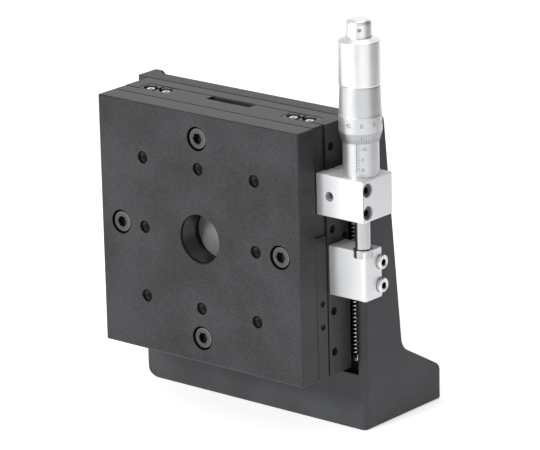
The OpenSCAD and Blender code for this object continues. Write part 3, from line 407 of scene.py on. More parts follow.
class Shape:
    """A mesh in the making, in millimetres."""

    def __init__(self) -> None:
        """Starts an empty mesh."""
        self.mesh = bmesh.new()

    def loft(self, rings: Iterable[Sequence[Vector]]) -> None:
        """Joins rings of points into a skin with capped ends. A ring of one point is a pole.

        Args:
            rings: The rings in order, each with the same number of points, or with one.
        """
        rows = [[self.mesh.verts.new(p) for p in points] for points in rings]
        for a, b in zip(rows, rows[1:]):
            count = max(len(a), len(b))
            for i in range(count):
                k = (i + 1) % count
                corners = [a[i % len(a)], a[k % len(a)], b[k % len(b)], b[i % len(b)]]
                self.mesh.faces.new(list(dict.fromkeys(corners)))
        for end in (rows[0][::-1], rows[-1]):
            if len(end) > 2:
                self.mesh.faces.new(end)

    def add(self, other: "Shape", places: Iterable[Matrix]) -> None:
        """Puts copies of another shape into this one, and uses the other one up.

        Args:
            other: The shape to copy.
            places: A matrix for each copy.
        """
        for place in places:
            known = {v: self.mesh.verts.new(place @ v.co) for v in other.mesh.verts}
            for face in other.mesh.faces:
                self.mesh.faces.new([known[v] for v in face.verts]).material_index = face.material_index
        other.mesh.free()

    def round_off(self, axis: Pair, step: float) -> None:
        """Cuts the flats of a turned piece finer and sets them on their true circles.

        Args:
            axis: Place of the piece's upright axis, in X and Y.
            step: The widest flat that stays, in degrees.
        """
        reach = self.mesh.verts.layers.float.new("reach")
        centre = Vector((*axis, 0))
        for vert in self.mesh.verts:
            vert[reach] = (vert.co - centre).xy.length
        by_cuts: dict[int, list[bmesh.types.BMEdge]] = {}
        for edge in self.mesh.edges:
            a, b = edge.verts
            same = max(abs(a[reach] - b[reach]), abs(a.co.z - b.co.z)) < SAME_CIRCLE
            if same and a[reach] > SMALLEST_CIRCLE:
                turn = math.degrees((a.co - centre).xy.angle((b.co - centre).xy))
                cuts = math.ceil(turn / step) - 1
                if cuts > 0:
                    by_cuts.setdefault(cuts, []).append(edge)
        for cuts in sorted(by_cuts):
            bmesh.ops.subdivide_edges(self.mesh, edges=by_cuts[cuts], cuts=cuts)
        for vert in self.mesh.verts:
            arm = (vert.co - centre).xy
            if vert[reach] > SMALLEST_CIRCLE:
                vert.co.xy = centre.xy + arm * (vert[reach] / arm.length)

    def become(
        self, name: str, body: str, slot: str, finishes: Sequence[Finish], crease: float = 38.0
    ) -> bpy.types.Object:
        """Turns the shape into a dressed object that rides on a body, and reports it.

        Args:
            name: The piece's name.
            body: The body that it rides on, or nothing for a piece on no body.
            slot: The material slot's name, which is not used.
            finishes: The finishes for the material indices in use.
            crease: Faces that meet at more than this many degrees keep a sharp edge.

        Returns:
            The new object.
        """
        bmesh.ops.remove_doubles(self.mesh, verts=self.mesh.verts, dist=SAME_PLACE)
        bmesh.ops.recalc_face_normals(self.mesh, faces=self.mesh.faces)
        bmesh.ops.scale(self.mesh, vec=(MM, MM, MM), verts=self.mesh.verts)
        data = bpy.data.meshes.new(name)
        self.mesh.to_mesh(data)
        self.mesh.free()
        for finish in finishes:
            data.materials.append(finish.material())
        data.polygons.foreach_set("use_smooth", [True] * len(data.polygons))
        data.set_sharp_from_angle(angle=math.radians(crease))
        made = put_in_scene(name, data)
        if body:
            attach(made, body)
        LOG.info("%s: %d faces", name, len(data.polygons))
        return made


def ring(radius: float, z: float, steps: int, hexagon: bool = False) -> list[Vector]:
    """A level circle or hexagon of points.

    Args:
        radius: The circle's radius, or half the hexagon's width across flats. Zero gives one point.
        z: Its height.
        steps: Number of points, a multiple of six for a hexagon.
        hexagon: Whether the points lie on a hexagon.

    Returns:
        The points, anticlockwise from above.
    """
    turns = [2 * math.pi * i / steps for i in range(steps if radius else 1)]
    outs = [radius / math.cos(a % SECTOR - SECTOR / 2) if hexagon else radius for a in turns]
    return [Vector((r * math.cos(a), r * math.sin(a), z)) for r, a in zip(outs, turns)]


def carried_copy(node: str) -> Shape:
    """A cleaned copy of a node's solid, with its flat faces whole.

    Args:
        node: The node's name.

    Returns:
        The shape in millimetres.
    """
    shape = Shape()
    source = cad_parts[node].data
    known: dict[tuple[int, ...], bmesh.types.BMVert] = {}
    corners = []
    for vert in source.vertices:
        key = tuple(round(c * 1e6) for c in vert.co)
        if key not in known:
            known[key] = shape.mesh.verts.new(vert.co / MM)
        corners.append(known[key])
    for polygon in source.polygons:
        loop = list(dict.fromkeys(corners[i] for i in polygon.vertices))
        if len(loop) > 2 and not shape.mesh.faces.get(loop):
            shape.mesh.faces.new(loop)
    mesh = shape.mesh
    bmesh.ops.recalc_face_normals(mesh, faces=mesh.faces)
    bmesh.ops.dissolve_limit(mesh, angle_limit=math.radians(FLAT_ANGLE), verts=mesh.verts, edges=mesh.edges)
    return shape


@dataclass(frozen=True)
class Dressing:
    """How a node's solid is dressed: its slot, its finish and its eased edges, lighter where they wear."""

    slot: str
    finish: Finish
    ease: float
    edge_lift: float
    extra: tuple[Finish, ...] = ()
    edge_angle: float = 32.0

    def put_on(
        self, node: str, body: str, name: str, paint: Paint | None = None, axis: Pair | None = None
    ) -> None:
        """Builds the dressed piece, which stands for the node.

        Args:
            node: The node.
            body: The body that it rides on.
            name: The piece's name.
            paint: Gives the material index of a face before its edges are eased.
            axis: Place of a turned piece's upright axis, in X and Y.
        """
        shape = carried_copy(node)
        if axis:
            shape.round_off(axis, TURNED_STEP)
        mesh = shape.mesh
        mesh.normal_update()
        if paint:
            for face in mesh.faces:
                face.material_index = paint(face)
        limit = math.radians(self.edge_angle)
        edges = [e for e in mesh.edges if e.is_manifold and e.calc_face_angle(0) > limit]
        bmesh.ops.bevel(mesh, geom=edges, offset=self.ease, offset_type="OFFSET", segments=2, profile=0.5,
                        affect="EDGES", clamp_overlap=False, material=EDGE)
        finishes = (self.finish, self.finish.edge_wear_and_sheen(self.edge_lift), *self.extra)
        made = shape.become(name, body, self.slot, finishes, crease=40.0)
        made.modifiers.new("even_shading", "WEIGHTED_NORMAL").keep_sharp = True
        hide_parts(node)


# The extra finish of the casting and the plates is the painted shade on the walls of holes, slots and
# pockets.
CASTING = Dressing("bracket_coating", CAST_COATING, 0.45, 0.1, (HOLE_PAINTED_SHADE,))
PLATE = Dressing("black_anodised", BLACK_FACE, 0.15, 0.08, (HOLE_PAINTED_SHADE,))
RAIL = Dressing("rail_steel", RAIL_STEEL, 0.2, 0.05)
BLOCK = Dressing("block_silver", SILVER_FACE, 0.12, 0.3)
BUTTON = Dressing("tool_steel", TOOL_STEEL, 0.2, 0.3)
# The extra finish of the turned pieces is the darker bevel, a painted dark reflection.
SLEEVE = Dressing("satin_chrome", SATIN_CHROME, 0.2, 0.3, (BEVEL_PAINTED_DARK,), 25.0)
KNOB = Dressing("polished_chrome", POLISHED_CHROME, 0.2, 0.3, (BEVEL_PAINTED_DARK,), 25.0)
SPINDLE = Dressing("tool_steel", TOOL_STEEL, 0.1, 0.3, (BEVEL_PAINTED_DARK,), 25.0)


def give_finish(finish: Finish, *nodes: str) -> None:
    """Gives carried-over nodes a finish.

    Args:
        finish: The finish.
        *nodes: The nodes' names.
    """
    for node in nodes:
        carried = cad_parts[node]
        if not carried.material_slots:
            carried.data.materials.append(finish.material())
        for kept in carried.material_slots:
            kept.material = finish.material()
        LOG.info("%s keeps its solid, in %s", node, finish.name)


# Screw rims lean this far towards the scuff-and-sheen tint: a painted highlight.
SCREW_RIM_HIGHLIGHT_LIFT = 0.9
THREAD_VALLEY = 0.86
HEX_FLAT = math.cos(SECTOR / 2)


@dataclass(frozen=True)
class SocketScrew:
    """What the socket screws share: a threaded shank, and a hexagon socket in their top."""

    thread_d: float
    length: float
    flats: float
    depth: float
    steps: int = 48
    pitch_share: float = 0.16
    point_share: float = 0.6
    mouth: float = 0.08
    lead: float = 0.1
    floor: tuple[Pair, ...] = ((0.0, 0.3),)
    inner_share: float = 1.05

    def _shank(self) -> list[list[Vector]]:
        """Draws the shank below the origin.

        Returns:
            The rings of its point and thread, from the lowest up.
        """
        n, r, low, pitch = self.steps, self.thread_d / 2, -self.length, self.thread_d * self.pitch_share
        turns = max(1, int((self.length - pitch) / pitch))
        thread = [ring(r * out, low + pitch * (i + up), n)
                  for i in range(turns) for out, up in ((THREAD_VALLEY, 0.5), (1.0, 1.0))]
        return [ring(0, low, n), ring(r * self.point_share, low, n), *thread]

    def _socket(self, top: float) -> list[list[Vector]]:
        """Draws the socket.

        Args:
            top: The height of the top that it is cut into.

        Returns:
            Its rings, from the mouth down.
        """
        n, flat = self.steps, self.flats / 2
        walls = [ring(flat, z, n, hexagon=True) for z in (top - self.lead, top - self.depth)]
        floor = [ring(flat * out, top - self.depth - flat * down, n) for out, down in self.floor]
        return [ring(flat / HEX_FLAT + self.mouth, top, n), *walls, *floor]


@dataclass(frozen=True)
class CapScrew(SocketScrew):
    """A socket head screw on the seat of its head, with its head along +Z."""

    steps: int = 72
    pitch_share: float = 0.15
    point_share: float = 0.7
    mouth: float = 0.12
    lead: float = 0.15
    floor: tuple[Pair, ...] = ((0.6, 0.12), (0.0, 0.35))
    inner_share: float = 1.1
    head: Pair = (10.0, 6.0)
    rim: float = 0.45
    knurl: float = 0.09
    # Share of the rim's chamfer that gets the painted highlight.
    rim_highlight_share: float = 0.9

    def shape(self) -> Shape:
        """Draws the screw with its thread, knurled head and hexagon socket.

        Returns:
            The screw, with the painted highlight on its rim as EDGE and the painted shade in its socket as
            PAINTED_DARK.
        """
        made = Shape()
        n, edge, top, flat = self.steps, self.head[0] / 2, self.head[1], self.flats / 2
        rings = [*self._shank(), ring(self.thread_d / 2, 0, n), ring(edge - self.rim / 2, 0, n)]
        flank = [edge - (self.knurl if i % 2 else 0.0) for i in range(n)]
        for z in (self.rim / 2, top - self.rim):
            rings.append([Vector((out * p.x, out * p.y, z)) for out, p in zip(flank, ring(1, z, n))])
        made.loft([*rings, ring(edge - self.rim, top, n), *self._socket(top)])
        # Painted highlight on the rim band, painted shade in the socket.
        rim_highlight_band = self.rim * self.rim_highlight_share
        for face in made.mesh.faces:
            x, y, z = face.calc_center_median()
            out = math.hypot(x, y)
            if out > edge - rim_highlight_band and z > top - rim_highlight_band:
                face.material_index = EDGE
            elif out < flat * self.inner_share and 0 < z < top - self.lead / 3:
                face.material_index = PAINTED_DARK
        return made


@dataclass(frozen=True)
class GrubScrew(SocketScrew):
    """A headless socket screw with its socket end at the origin, along +Z."""

    end_ease: float = 0.3

    def shape(self) -> Shape:
        """Draws the screw with its thread and socket.

        Returns:
            The screw, with the painted shade in its socket as PAINTED_DARK.
        """
        made = Shape()
        r, ease, flat = self.thread_d / 2, self.end_ease, self.flats / 2
        end = [ring(r, -ease, self.steps), ring(r - ease, 0, self.steps)]
        made.loft([*self._shank(), *end, *self._socket(0)])
        # Painted shade in the socket.
        for face in made.mesh.faces:
            x, y, z = face.calc_center_median()
            if math.hypot(x, y) < flat * self.inner_share and -self.depth - flat < z < -self.lead / 2:
                face.material_index = PAINTED_DARK
        return made


def screw_set(
    name: str, node: str, body: str, screw: SocketScrew, places: Iterable[Matrix],
    plating: Plating = Plating.BLACK,
) -> None:
    """Builds a set of like screws that stands for one node.

    Args:
        name: The piece's name.
        node: The node that it stands for.
        body: The body that it rides on.
        screw: One screw.
        places: Where each screw sits.
        plating: Their slot and finish.
    """
    slot, finish = plating.value
    whole = Shape()
    whole.add(screw.shape(), places)
    # EDGE carries the painted highlight on the rims, and the last finish carries the painted shade in the
    # sockets.
    finishes = (finish, finish.edge_wear_and_sheen(SCREW_RIM_HIGHLIGHT_LIFT), HOLE_PAINTED_SHADE)
    made = whole.become(name, body, slot, finishes, crease=28.0)
    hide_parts(node)


@dataclass(frozen=True)
class Thread:
    """The ridge of a tapped hole, wound along +Z from the origin."""

    radius: float
    height: float
    pitch: float
    length: float
    steps: int = 28
    half_share: float = 0.46
    crest_share: float = 0.12
    end_share: float = 0.1
    sunk: float = 0.03

    def shape(self) -> Shape:
        """Draws the ridge as one coil that fades at its ends.

        Returns:
            The coil, with a crest that points inwards.
        """
        made = Shape()
        count = int((self.length - self.pitch) / self.pitch * self.steps)
        rise = Vector((0, 0, self.pitch * self.half_share))
        rings = []
        for i in range(count + 1):
            a = 2 * math.pi * i / self.steps
            level = Vector((0, 0, self.pitch * (0.5 + i / self.steps)))
            fade = min(1.0, i / self.steps, (count - i) / self.steps) * (1 - self.end_share) + self.end_share
            out = Vector((math.cos(a), math.sin(a), 0))
            root = out * (self.radius + self.sunk) + level
            crest = out * (self.radius - self.height * fade) + level
            tip = rise * self.crest_share
            rings.append([root - rise, root + rise, crest + tip, crest - tip])
        made.loft(rings)
        return made


def dark_inside(reach: float, depth: Pair) -> Paint:
    """Tells the walls of holes and slots in a plate from its outside, so that the walls get painted shade.

    Args:
        reach: Half the width of the region round the stage's middle that counts as inside.
        depth: The plate's front and back, in Y.

    Returns:
        A function that gives PAINTED_DARK, a painted shade, for a wall's or a counterbore floor's face, and
        MAIN for others.
    """
    front, back = depth[0] + WALL_SKIN, depth[1] - WALL_SKIN

    def paint(face: Face) -> int:
        """Gives the material index of one face."""
        x, y, z = face.calc_center_median()
        return PAINTED_DARK if max(abs(x), abs(z - STAGE_Z)) < reach and front < y < back else MAIN

    return paint


@dataclass(frozen=True)
class RailPair:
    """The two way rails of a plate, their screws and the low bright screws at their ends."""

    plate: str
    body: str
    x: float
    end: float = 60.3
    screw: CapScrew = CapScrew(2.5, 5.0, 1.5, 0.9, steps=48, head=(4.4, 1.4), rim=0.3, knurl=0.0)

    def build(self) -> None:
        """Dresses the rails and builds the screws at their ends."""
        for side in ("left", "right"):
            RAIL.put_on(f"{self.plate}_rail_{side}", self.body, f"{self.plate}_way_rail_{side}")
        give_finish(BLACK_OXIDE, f"{self.plate}_rail_screws")
        places = [seat((side * self.x, GROOVE_Y, STAGE_Z + end * self.end), facing)
                  for side in (-1, 1) for end, facing in ((-1, Facing.DOWN), (1, Facing.UP))]
        screw_set(f"{self.plate}_stop_cap_screws", f"{self.plate}_stop_screws", self.body, self.screw, places,
                  Plating.BRIGHT)


@dataclass
class BracketCasting:
    """The fixed casting: upright, ribs, foot and the screws that hold the base on it."""

    screw: CapScrew = CapScrew(6.0, 10.5, 5.0, 3.2)
    screw_x: float = 30.0
    screw_z: float = 50.0
    seat_y: float = -26.0
    pocket: tuple[Pair, Pair, Pair] = ((56.0, 66.8), (-29.4, -23.4), (27.0, 147.0))

    def _paint(self, face: Face) -> int:
        """Tells the walls of the pockets in the wings from the rest, so that the walls get painted shade.

        Args:
            face: A face of the casting.

        Returns:
            PAINTED_DARK, a painted shade, on a pocket's wall, and MAIN elsewhere.
        """
        spot = face.calc_center_median()
        inside = all(a < c < b for c, (a, b) in zip((abs(spot.x), spot.y, spot.z), self.pocket))
        return PAINTED_DARK if inside else MAIN

    def build(self) -> None:
        """Dresses the casting and the base's screws and dowels."""
        CASTING.put_on("bracket", "root", "bracket_casting", self._paint)
        places = [seat((x, self.seat_y, STAGE_Z + z), Facing.BACK) for x in (-self.screw_x, self.screw_x)
                  for z in (-self.screw_z, self.screw_z)]
        screw_set("base_cap_screws", "base_screws", "root", self.screw, places)
        give_finish(TOOL_STEEL, "base_dowels")


@dataclass
class FixedBase:
    """The plate with the two flanges, its preload screws and its rails."""

    depth: Pair = (-37.5, -29.5)
    inside: float = 58.0
    preload: GrubScrew = GrubScrew(4.0, 5.8, 2.0, 2.0)
    preload_x: float = 60.0
    preload_pitch: float = 20.4
    preload_count: int = 6
    rails: RailPair = RailPair("base", "root", 49.85)

    def build(self) -> None:
        """Dresses the plate, the rails and the screws in them."""
        PLATE.put_on("base_plate", "root", "base_flanged_plate", dark_inside(self.inside, self.depth))
        middle = (self.preload_count - 1) / 2
        places = [seat((self.preload_x, GROOVE_Y, STAGE_Z + (i - middle) * self.preload_pitch), Facing.RIGHT)
                  for i in range(self.preload_count)]
        screw_set("preload_grub_screws", "preload_screws", "root", self.preload, places)
        self.rails.build()


@dataclass
class Carriage:
    """The moving plate behind the table, with its rails, rollers and set screws."""

    depth: Pair = (-54.5, -34.0)
    inside: float = 61.0
    recess_depth: float = 2.0
    recess_r: float = 12.5
    set_screw: GrubScrew = GrubScrew(3.0, 6.0, 1.5, 1.6)
    set_screw_x: float = 61.7
    set_screw_y: float = -50.5
    set_screw_z: Pair = (68.5, 57.0)
    rails: RailPair = RailPair("carriage", "table", 39.95)

    def build(self) -> None:
        """Dresses the plate, its rails and the screws in them."""
        floor_y = self.depth[0] + self.recess_depth
        walls = dark_inside(self.inside, self.depth)

        def paint(face: Face) -> int:
            """Tells the recess's floor and the walls of holes from the rest.

            Args:
                face: A face of the plate.

            Returns:
                BARE on the recess's floor, PAINTED_DARK, a painted shade, on a wall, and MAIN elsewhere.
            """
            x, y, z = face.calc_center_median()
            level = abs(y - floor_y) < FLOOR_SKIN and abs(face.normal.y) > LEVEL_NORMAL
            return BARE if level and math.hypot(x, z - STAGE_Z) < self.recess_r else walls(face)

        plate = replace(PLATE, extra=(HOLE_PAINTED_SHADE, BARE_FACE))
        plate.put_on("carriage", "table", "carriage_plate", paint)
        places = [seat((self.set_screw_x, self.set_screw_y, z), Facing.RIGHT) for z in self.set_screw_z]
        screw_set("carriage_grub_screws", "carriage_set_screws", "table", self.set_screw, places)
        self.rails.build()
        give_finish(CAGE_BRASS, "roller_cage_left", "roller_cage_right")
        give_finish(TOOL_STEEL, "rollers_left", "rollers_right")


@dataclass
class MovingTable:
    """The drilled table plate with its threads and screws."""

    front_y: float = -66.5
    thick: float = 12.0
    inside: float = 61.5
    tap: Thread = Thread(3.0, 0.42, 1.0, 11.0)
    tap_pitch: float = 35.0
    bore: Thread = Thread(12.0, 0.22, 0.7, 10.8, steps=84)
    thread_end: float = 0.2
    screw: CapScrew = CapScrew(6.0, 13.0, 5.0, 3.3)
    screw_reach: float = 50.0
    screw_seat_y: float = -60.0

    def build(self) -> None:
        """Dresses the plate and adds the threads and the four screws."""
        rear = self.front_y + self.thick
        walls = dark_inside(self.inside, (self.front_y, rear))
        PLATE.put_on("table_plate", "table", "table_drilled_plate", walls)
        grid = [(i * self.tap_pitch, k * self.tap_pitch) for i in (-1, 0, 1) for k in (-1, 0, 1) if i or k]
        self._threads("table_hole_threads", self.tap, grid)
        self._threads("table_bore_thread", self.bore, [(0.0, 0.0)])
        reach = self.screw_reach
        screw_set("table_cap_screws", "table_screws", "table", self.screw,
                  [seat((x, self.screw_seat_y, STAGE_Z + z), Facing.FRONT)
                   for x, z in ((0, reach), (reach, 0), (0, -reach), (-reach, 0))])

    def _threads(self, name: str, thread: Thread, spots: Iterable[Pair]) -> None:
        """Winds the same ridge into one or more holes.

        Args:
            name: The piece's name.
            thread: The ridge.
            spots: The holes' places from the stage's middle, in X and Z.
        """
        start_y = self.front_y + self.thick - self.thread_end
        whole = Shape()
        whole.add(thread.shape(), [seat((x, start_y, STAGE_Z + z), Facing.FRONT) for x, z in spots])
        # The ridges get the near-black painted shade of the holes.
        whole.become(name, "table", "black_anodised", [THREAD_PAINTED_SHADE])


@dataclass
class DriveBlocks:
    """The block that holds the micrometer and the anvil block under it."""

    holder_front: float = -52.5
    holder_low: float = 113.5
    holder_h: float = 20.5
    holder_screw: CapScrew = CapScrew(3.5, 30.5, 3.0, 1.9, steps=60, head=(6.6, 3.5), rim=0.35)
    holder_seat: Pair = (85.0, -48.583)
    holder_rows: Pair = (0.22, 0.76)
    clamp_screw: CapScrew = CapScrew(2.5, 11.75, 2.0, 1.3, steps=48, head=(4.5, 2.5), rim=0.3)
    clamp_x: float = 69.4
    clamp_sunk: float = 5.5
    clamp_row: float = 0.49
    anvil_top: float = 96.5
    anvil_h: float = 24.5
    anvil_screw: CapScrew = CapScrew(4.0, 26.5, 3.0, 2.1, steps=60, head=(7.0, 4.0), rim=0.4)
    anvil_seat: Pair = (82.0, -33.0)
    anvil_rows: Pair = (0.29, 0.76)

    def build(self) -> None:
        """Dresses both blocks and builds their screws."""
        BLOCK.put_on("holder_block", "table", "micrometer_holder")
        BLOCK.put_on("anvil_block", "root", "anvil_carrier")
        BUTTON.put_on("anvil_button", "root", "anvil_contact")
        heights = [self.holder_low + row * self.holder_h for row in (*self.holder_rows, self.clamp_row)]
        screw_set("holder_cap_screws", "holder_screws", "table", self.holder_screw,
                  [seat((*self.holder_seat, z), Facing.RIGHT) for z in heights[:2]])
        clamp_spot = (self.clamp_x, self.holder_front + self.clamp_sunk, heights[2])
        screw_set("clamp_cap_screw", "clamp_screw", "table", self.clamp_screw,
                  [seat(clamp_spot, Facing.FRONT)])
        heights = [self.anvil_top - row * self.anvil_h for row in self.anvil_rows]
        screw_set("anvil_cap_screws", "anvil_screws", "root", self.anvil_screw,
                  [seat((*self.anvil_seat, z), Facing.RIGHT) for z in heights], Plating.BRIGHT)


FONT_TO_FIGURE = 1.4
NUMERAL_HALF = 0.04
NUMERAL_STEPS = 3
BEND_STEP = 0.25


@dataclass
class MicrometerHead:
    """The micrometer: sleeve, spindle, thimble, knob and end cap, with their graduations."""

    x: float = 80.0
    y: float = -41.25
    ink_sunk: float = 0.06
    ink_proud: float = 0.02
    long_each: int = 5
    sleeve_r: float = 8.6
    sleeve_marks: int = 26
    zero_z: float = 138.0
    index_at: float = 24.0
    index_half: float = 0.7
    index_end: Pair = (1.5, 165.5)
    mark_reach: Pair = (10.0, 15.0)
    mark_half: float = 0.1
    sleeve_numeral: Pair = (1.7, 17.0)
    thimble_z: float = 150.5
    bevel_h: float = 5.1
    bevel_low_r: float = 8.95
    bevel_facing: Pair = (-0.6, -0.1)
    band_r: float = 10.3
    thimble_marks: int = 50
    first_mark_at: float = 41.3
    thimble_start: float = 0.1
    thimble_rise: Pair = (2.3, 3.6)
    thimble_half: float = 0.55
    thimble_numeral: Pair = (2.0, 159.6)

    def build(self) -> None:
        """Dresses the turned pieces and lays the scales on them."""
        for dressing, node, body, name in (
            (SLEEVE, "scale_sleeve", "table", "graduated_sleeve"),
            (replace(SLEEVE, ease=0.12), "thimble", "thimble", "graduated_thimble"),
            (KNOB, "knob_cover", "thimble", "friction_knob"),
            (replace(KNOB, ease=0.12), "end_cap", "thimble", "knob_end_cap"),
            (SPINDLE, "spindle", "thimble", "measuring_spindle"),
        ):
            dressing.put_on(node, body, name, self._paint, (self.x, self.y))
        give_finish(TOOL_STEEL, "micrometer_stem", "adjusting_nut")
        self._sleeve_scale()
        self._thimble_scale()

    def _paint(self, face: Face) -> int:
        """Gives the thimble's bevel its rougher finish, whose darker tint is a painted dark reflection."""
        on_bevel = self.thimble_z < face.calc_center_median().z < self.thimble_z + self.bevel_h
        return PAINTED_DARK if on_bevel and self.bevel_facing[0] < face.normal.z < self.bevel_facing[1] else MAIN

    def _on_axis(self, radius: float, degrees: float, z: float) -> Vector:
        """The point at a radius and height round the axis, turned from the front towards the right."""
        a = math.radians(degrees)
        return Vector((self.x + radius * math.sin(a), self.y - radius * math.cos(a), z))

    def _line(self, shape: Shape, radii: Pair, at: Pair, z: Pair, steps: int = 1) -> None:
        """Lays one filled line on the turned surface.

        Args:
            shape: The scale's mesh.
            radii: The surface's radius at the line's lower and upper end.
            at: Where the line starts and ends round the axis, in degrees.
            z: Its lower and upper end.
            steps: Number of straight pieces round the axis.
        """
        edges = [(radii[0] - self.ink_sunk, z[0]), (radii[0] + self.ink_proud, z[0]),
                 (radii[1] + self.ink_proud, z[1]), (radii[1] - self.ink_sunk, z[1])]
        turns = [at[0] + (at[1] - at[0]) * i / steps for i in range(steps + 1)]
        shape.loft([[self._on_axis(r, a, level) for r, level in edges] for a in turns])

    def _numeral(self, shape: Shape, text: str, height: float, spot: Spot, align: str = "CENTER") -> None:
        """Lays a number on a cylinder.

        Args:
            shape: The scale's mesh.
            text: The number.
            height: Height of its figures.
            spot: The cylinder's radius, and the number's place round the axis in degrees and in Z.
            align: Blender's word for where in the number that place is.
        """
        radius, at, z = spot
        curve = bpy.data.curves.new("numeral", "FONT")
        curve.body, curve.align_x, curve.align_y = text, align, "CENTER"
        curve.size, curve.extrude, curve.resolution_u = height * FONT_TO_FIGURE, NUMERAL_HALF, NUMERAL_STEPS
        holder = put_in_scene("numeral", curve)
        bpy.context.view_layer.update()
        data = bpy.data.meshes.new_from_object(holder)
        flat = bmesh.new()
        flat.from_mesh(data)
        bmesh.ops.remove_doubles(flat, verts=flat.verts, dist=SAME_PLACE)
        cuts = int(max(abs(v.co.x) for v in flat.verts) / BEND_STEP) + 1
        for i in range(-cuts, cuts + 1):
            parts = [*flat.verts, *flat.edges, *flat.faces]
            bmesh.ops.bisect_plane(flat, geom=parts, plane_co=(i * BEND_STEP, 0, 0), plane_no=(1, 0, 0))
        known = {}
        for vert in flat.verts:
            x, y, out = vert.co
            bent = self._on_axis(radius - self.ink_proud + out, at + math.degrees(x / radius), z + y)
            known[vert] = shape.mesh.verts.new(bent)
        for face in flat.faces:
            shape.mesh.faces.new([known[v] for v in face.verts])
        flat.free()
        bpy.data.objects.remove(holder)
        bpy.data.curves.remove(curve)
        bpy.data.meshes.remove(data)

    def _sleeve_scale(self) -> None:
        """Lays the index line, the millimetre lines and their numbers on the sleeve."""
        shape = Shape()
        radii = (self.sleeve_r, self.sleeve_r)
        left, right = self.index_at - self.index_half, self.index_at + self.index_half
        below, top = self.index_end
        self._line(shape, radii, (left, right), (self.zero_z - below, top))
        height, numeral_at = self.sleeve_numeral
        for i in range(self.sleeve_marks):
            z = self.zero_z + i
            long = i % self.long_each == 0
            ends = (z - self.mark_half, z + self.mark_half)
            self._line(shape, radii, (right, self.index_at + self.mark_reach[long]), ends, steps=4)
            if long:
                self._numeral(shape, str(i), height, (self.sleeve_r, self.index_at + numeral_at, z), "LEFT")
        shape.become("sleeve_scale", "table", "satin_chrome", [SCALE_INK])

    def _thimble_scale(self) -> None:
        """Lays the fifty lines and their numbers on the thimble."""
        shape = Shape()
        slope = (self.band_r - self.bevel_low_r) / self.bevel_h
        start = self.thimble_start
        height, numeral_z = self.thimble_numeral
        for i in range(self.thimble_marks):
            at = self.first_mark_at + i * (360 / self.thimble_marks)
            long = i % self.long_each == 0
            rise = self.thimble_rise[long]
            radii = (self.bevel_low_r + start * slope, self.bevel_low_r + rise * slope)
            self._line(shape, radii, (at - self.thimble_half, at + self.thimble_half),
                       (self.thimble_z + start, self.thimble_z + rise))
            if long:
                self._numeral(shape, str(i), height, (self.band_r, at, numeral_z))
        shape.become("thimble_scale", "thimble", "satin_chrome", [SCALE_INK])


@dataclass(frozen=True)
class CoilSpring:
    """An extension spring between two pins that run from front to back."""

    name: str
    node: str
    low: Spot
    length: float
    outer_d: float
    wire_d: float
    curls: int
    curl_steps: int = 20
    hook_turn: float = 240.0
    hook_steps: int = 20
    bend_steps: int = 6
    sides: int = 10

    def _path(self) -> list[Vector]:
        """The wire's middle line.

        Returns:
            Its points, from the lower hook to the upper one.
        """
        r = (self.outer_d - self.wire_d) / 2
        leg = r + self.wire_d
        low = leg + self.wire_d
        bend_a = self.wire_d / r
        hook = math.radians(self.hook_turn)
        lower = []
        for i in range(self.hook_steps + 1):
            a = -hook * (1 - i / self.hook_steps)
            lower.append(Vector((r * math.cos(a), 0, r * math.sin(a))))
        for i in range(self.bend_steps):
            b = math.pi / 2 * i / self.bend_steps
            a = bend_a * (1 - math.cos(b))
            lower.append(Vector((r * math.cos(a), r * math.sin(a), leg + self.wire_d * math.sin(b))))
        steps = self.curl_steps * self.curls
        sweep = 2 * math.pi * self.curls - 2 * bend_a
        rise = self.length - 2 * low
        helix = []
        for i in range(steps + 1):
            a = bend_a + sweep * i / steps
            helix.append(Vector((r * math.cos(a), r * math.sin(a), low + rise * i / steps)))
        upper = [Vector((p.x, -p.y, self.length - p.z)) for p in reversed(lower)]
        return lower + helix + upper

    def build(self) -> None:
        """Sweeps the wire along its path."""
        path = self._path()
        last = len(path) - 1
        turns = [(p.x, p.y) for p in ring(1, 0, self.sides)]
        rings = []
        normal = Vector((0, 1, 0))
        for i, spot in enumerate(path):
            along = (path[min(i + 1, last)] - path[max(i - 1, 0)]).normalized()
            normal = (normal - normal.dot(along) * along).normalized()
            side = along.cross(normal)
            base = Vector(self.low) + spot
            rings.append([base + (normal * c + side * s) * self.wire_d / 2 for c, s in turns])
        shape = Shape()
        shape.loft(rings)
        made = shape.become(self.name, "", "spring_steel", [SPRING_WIRE], crease=60.0)
        start = Vector(self.low) * MM
        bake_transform(made)
        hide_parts(self.node)


@dataclass
class Springs:
    """Both extension springs and the pins that they hook on."""

    coils: tuple[CoilSpring, ...] = (
        CoilSpring("return_coil", "return_spring", (63.9, -28.0, 35.5), 82.0, 2.6, 0.5, 40),
        CoilSpring("inner_coil", "inner_spring", (0.0, -40.6, 38.5), 110.0, 4.6, 0.7, 36),
    )

    def build(self) -> None:
        """Winds both springs and finishes their pins."""
        for coil in self.coils:
            coil.build()
        give_finish(TOOL_STEEL, "lower_spring_pins", "upper_spring_pins")


@dataclass(frozen=True)
class Card:
    """An upright card of the studio that reflections see, and soft light too where it fills."""

    azimuth: float
    width: float
    brightness: float
    fills: bool = False
    distance: float = 620.0
    height: float = 900.0


@dataclass(frozen=True)
class Softbox:
    """A square lamp of the studio. Its power is in watts."""

    name: str
    spot: Spot
    size: float
    power: float


BLACK = (0.0, 0.0, 0.0)
WHITE = (1.0, 1.0, 1.0)
PALE = (0.94, 0.96, 1.0)
PAPER = (0.9, 0.9, 0.9)
PAPER_LIFT = 1.02
PAPER_PER_MM = (0.01, 0.01, 0.01)


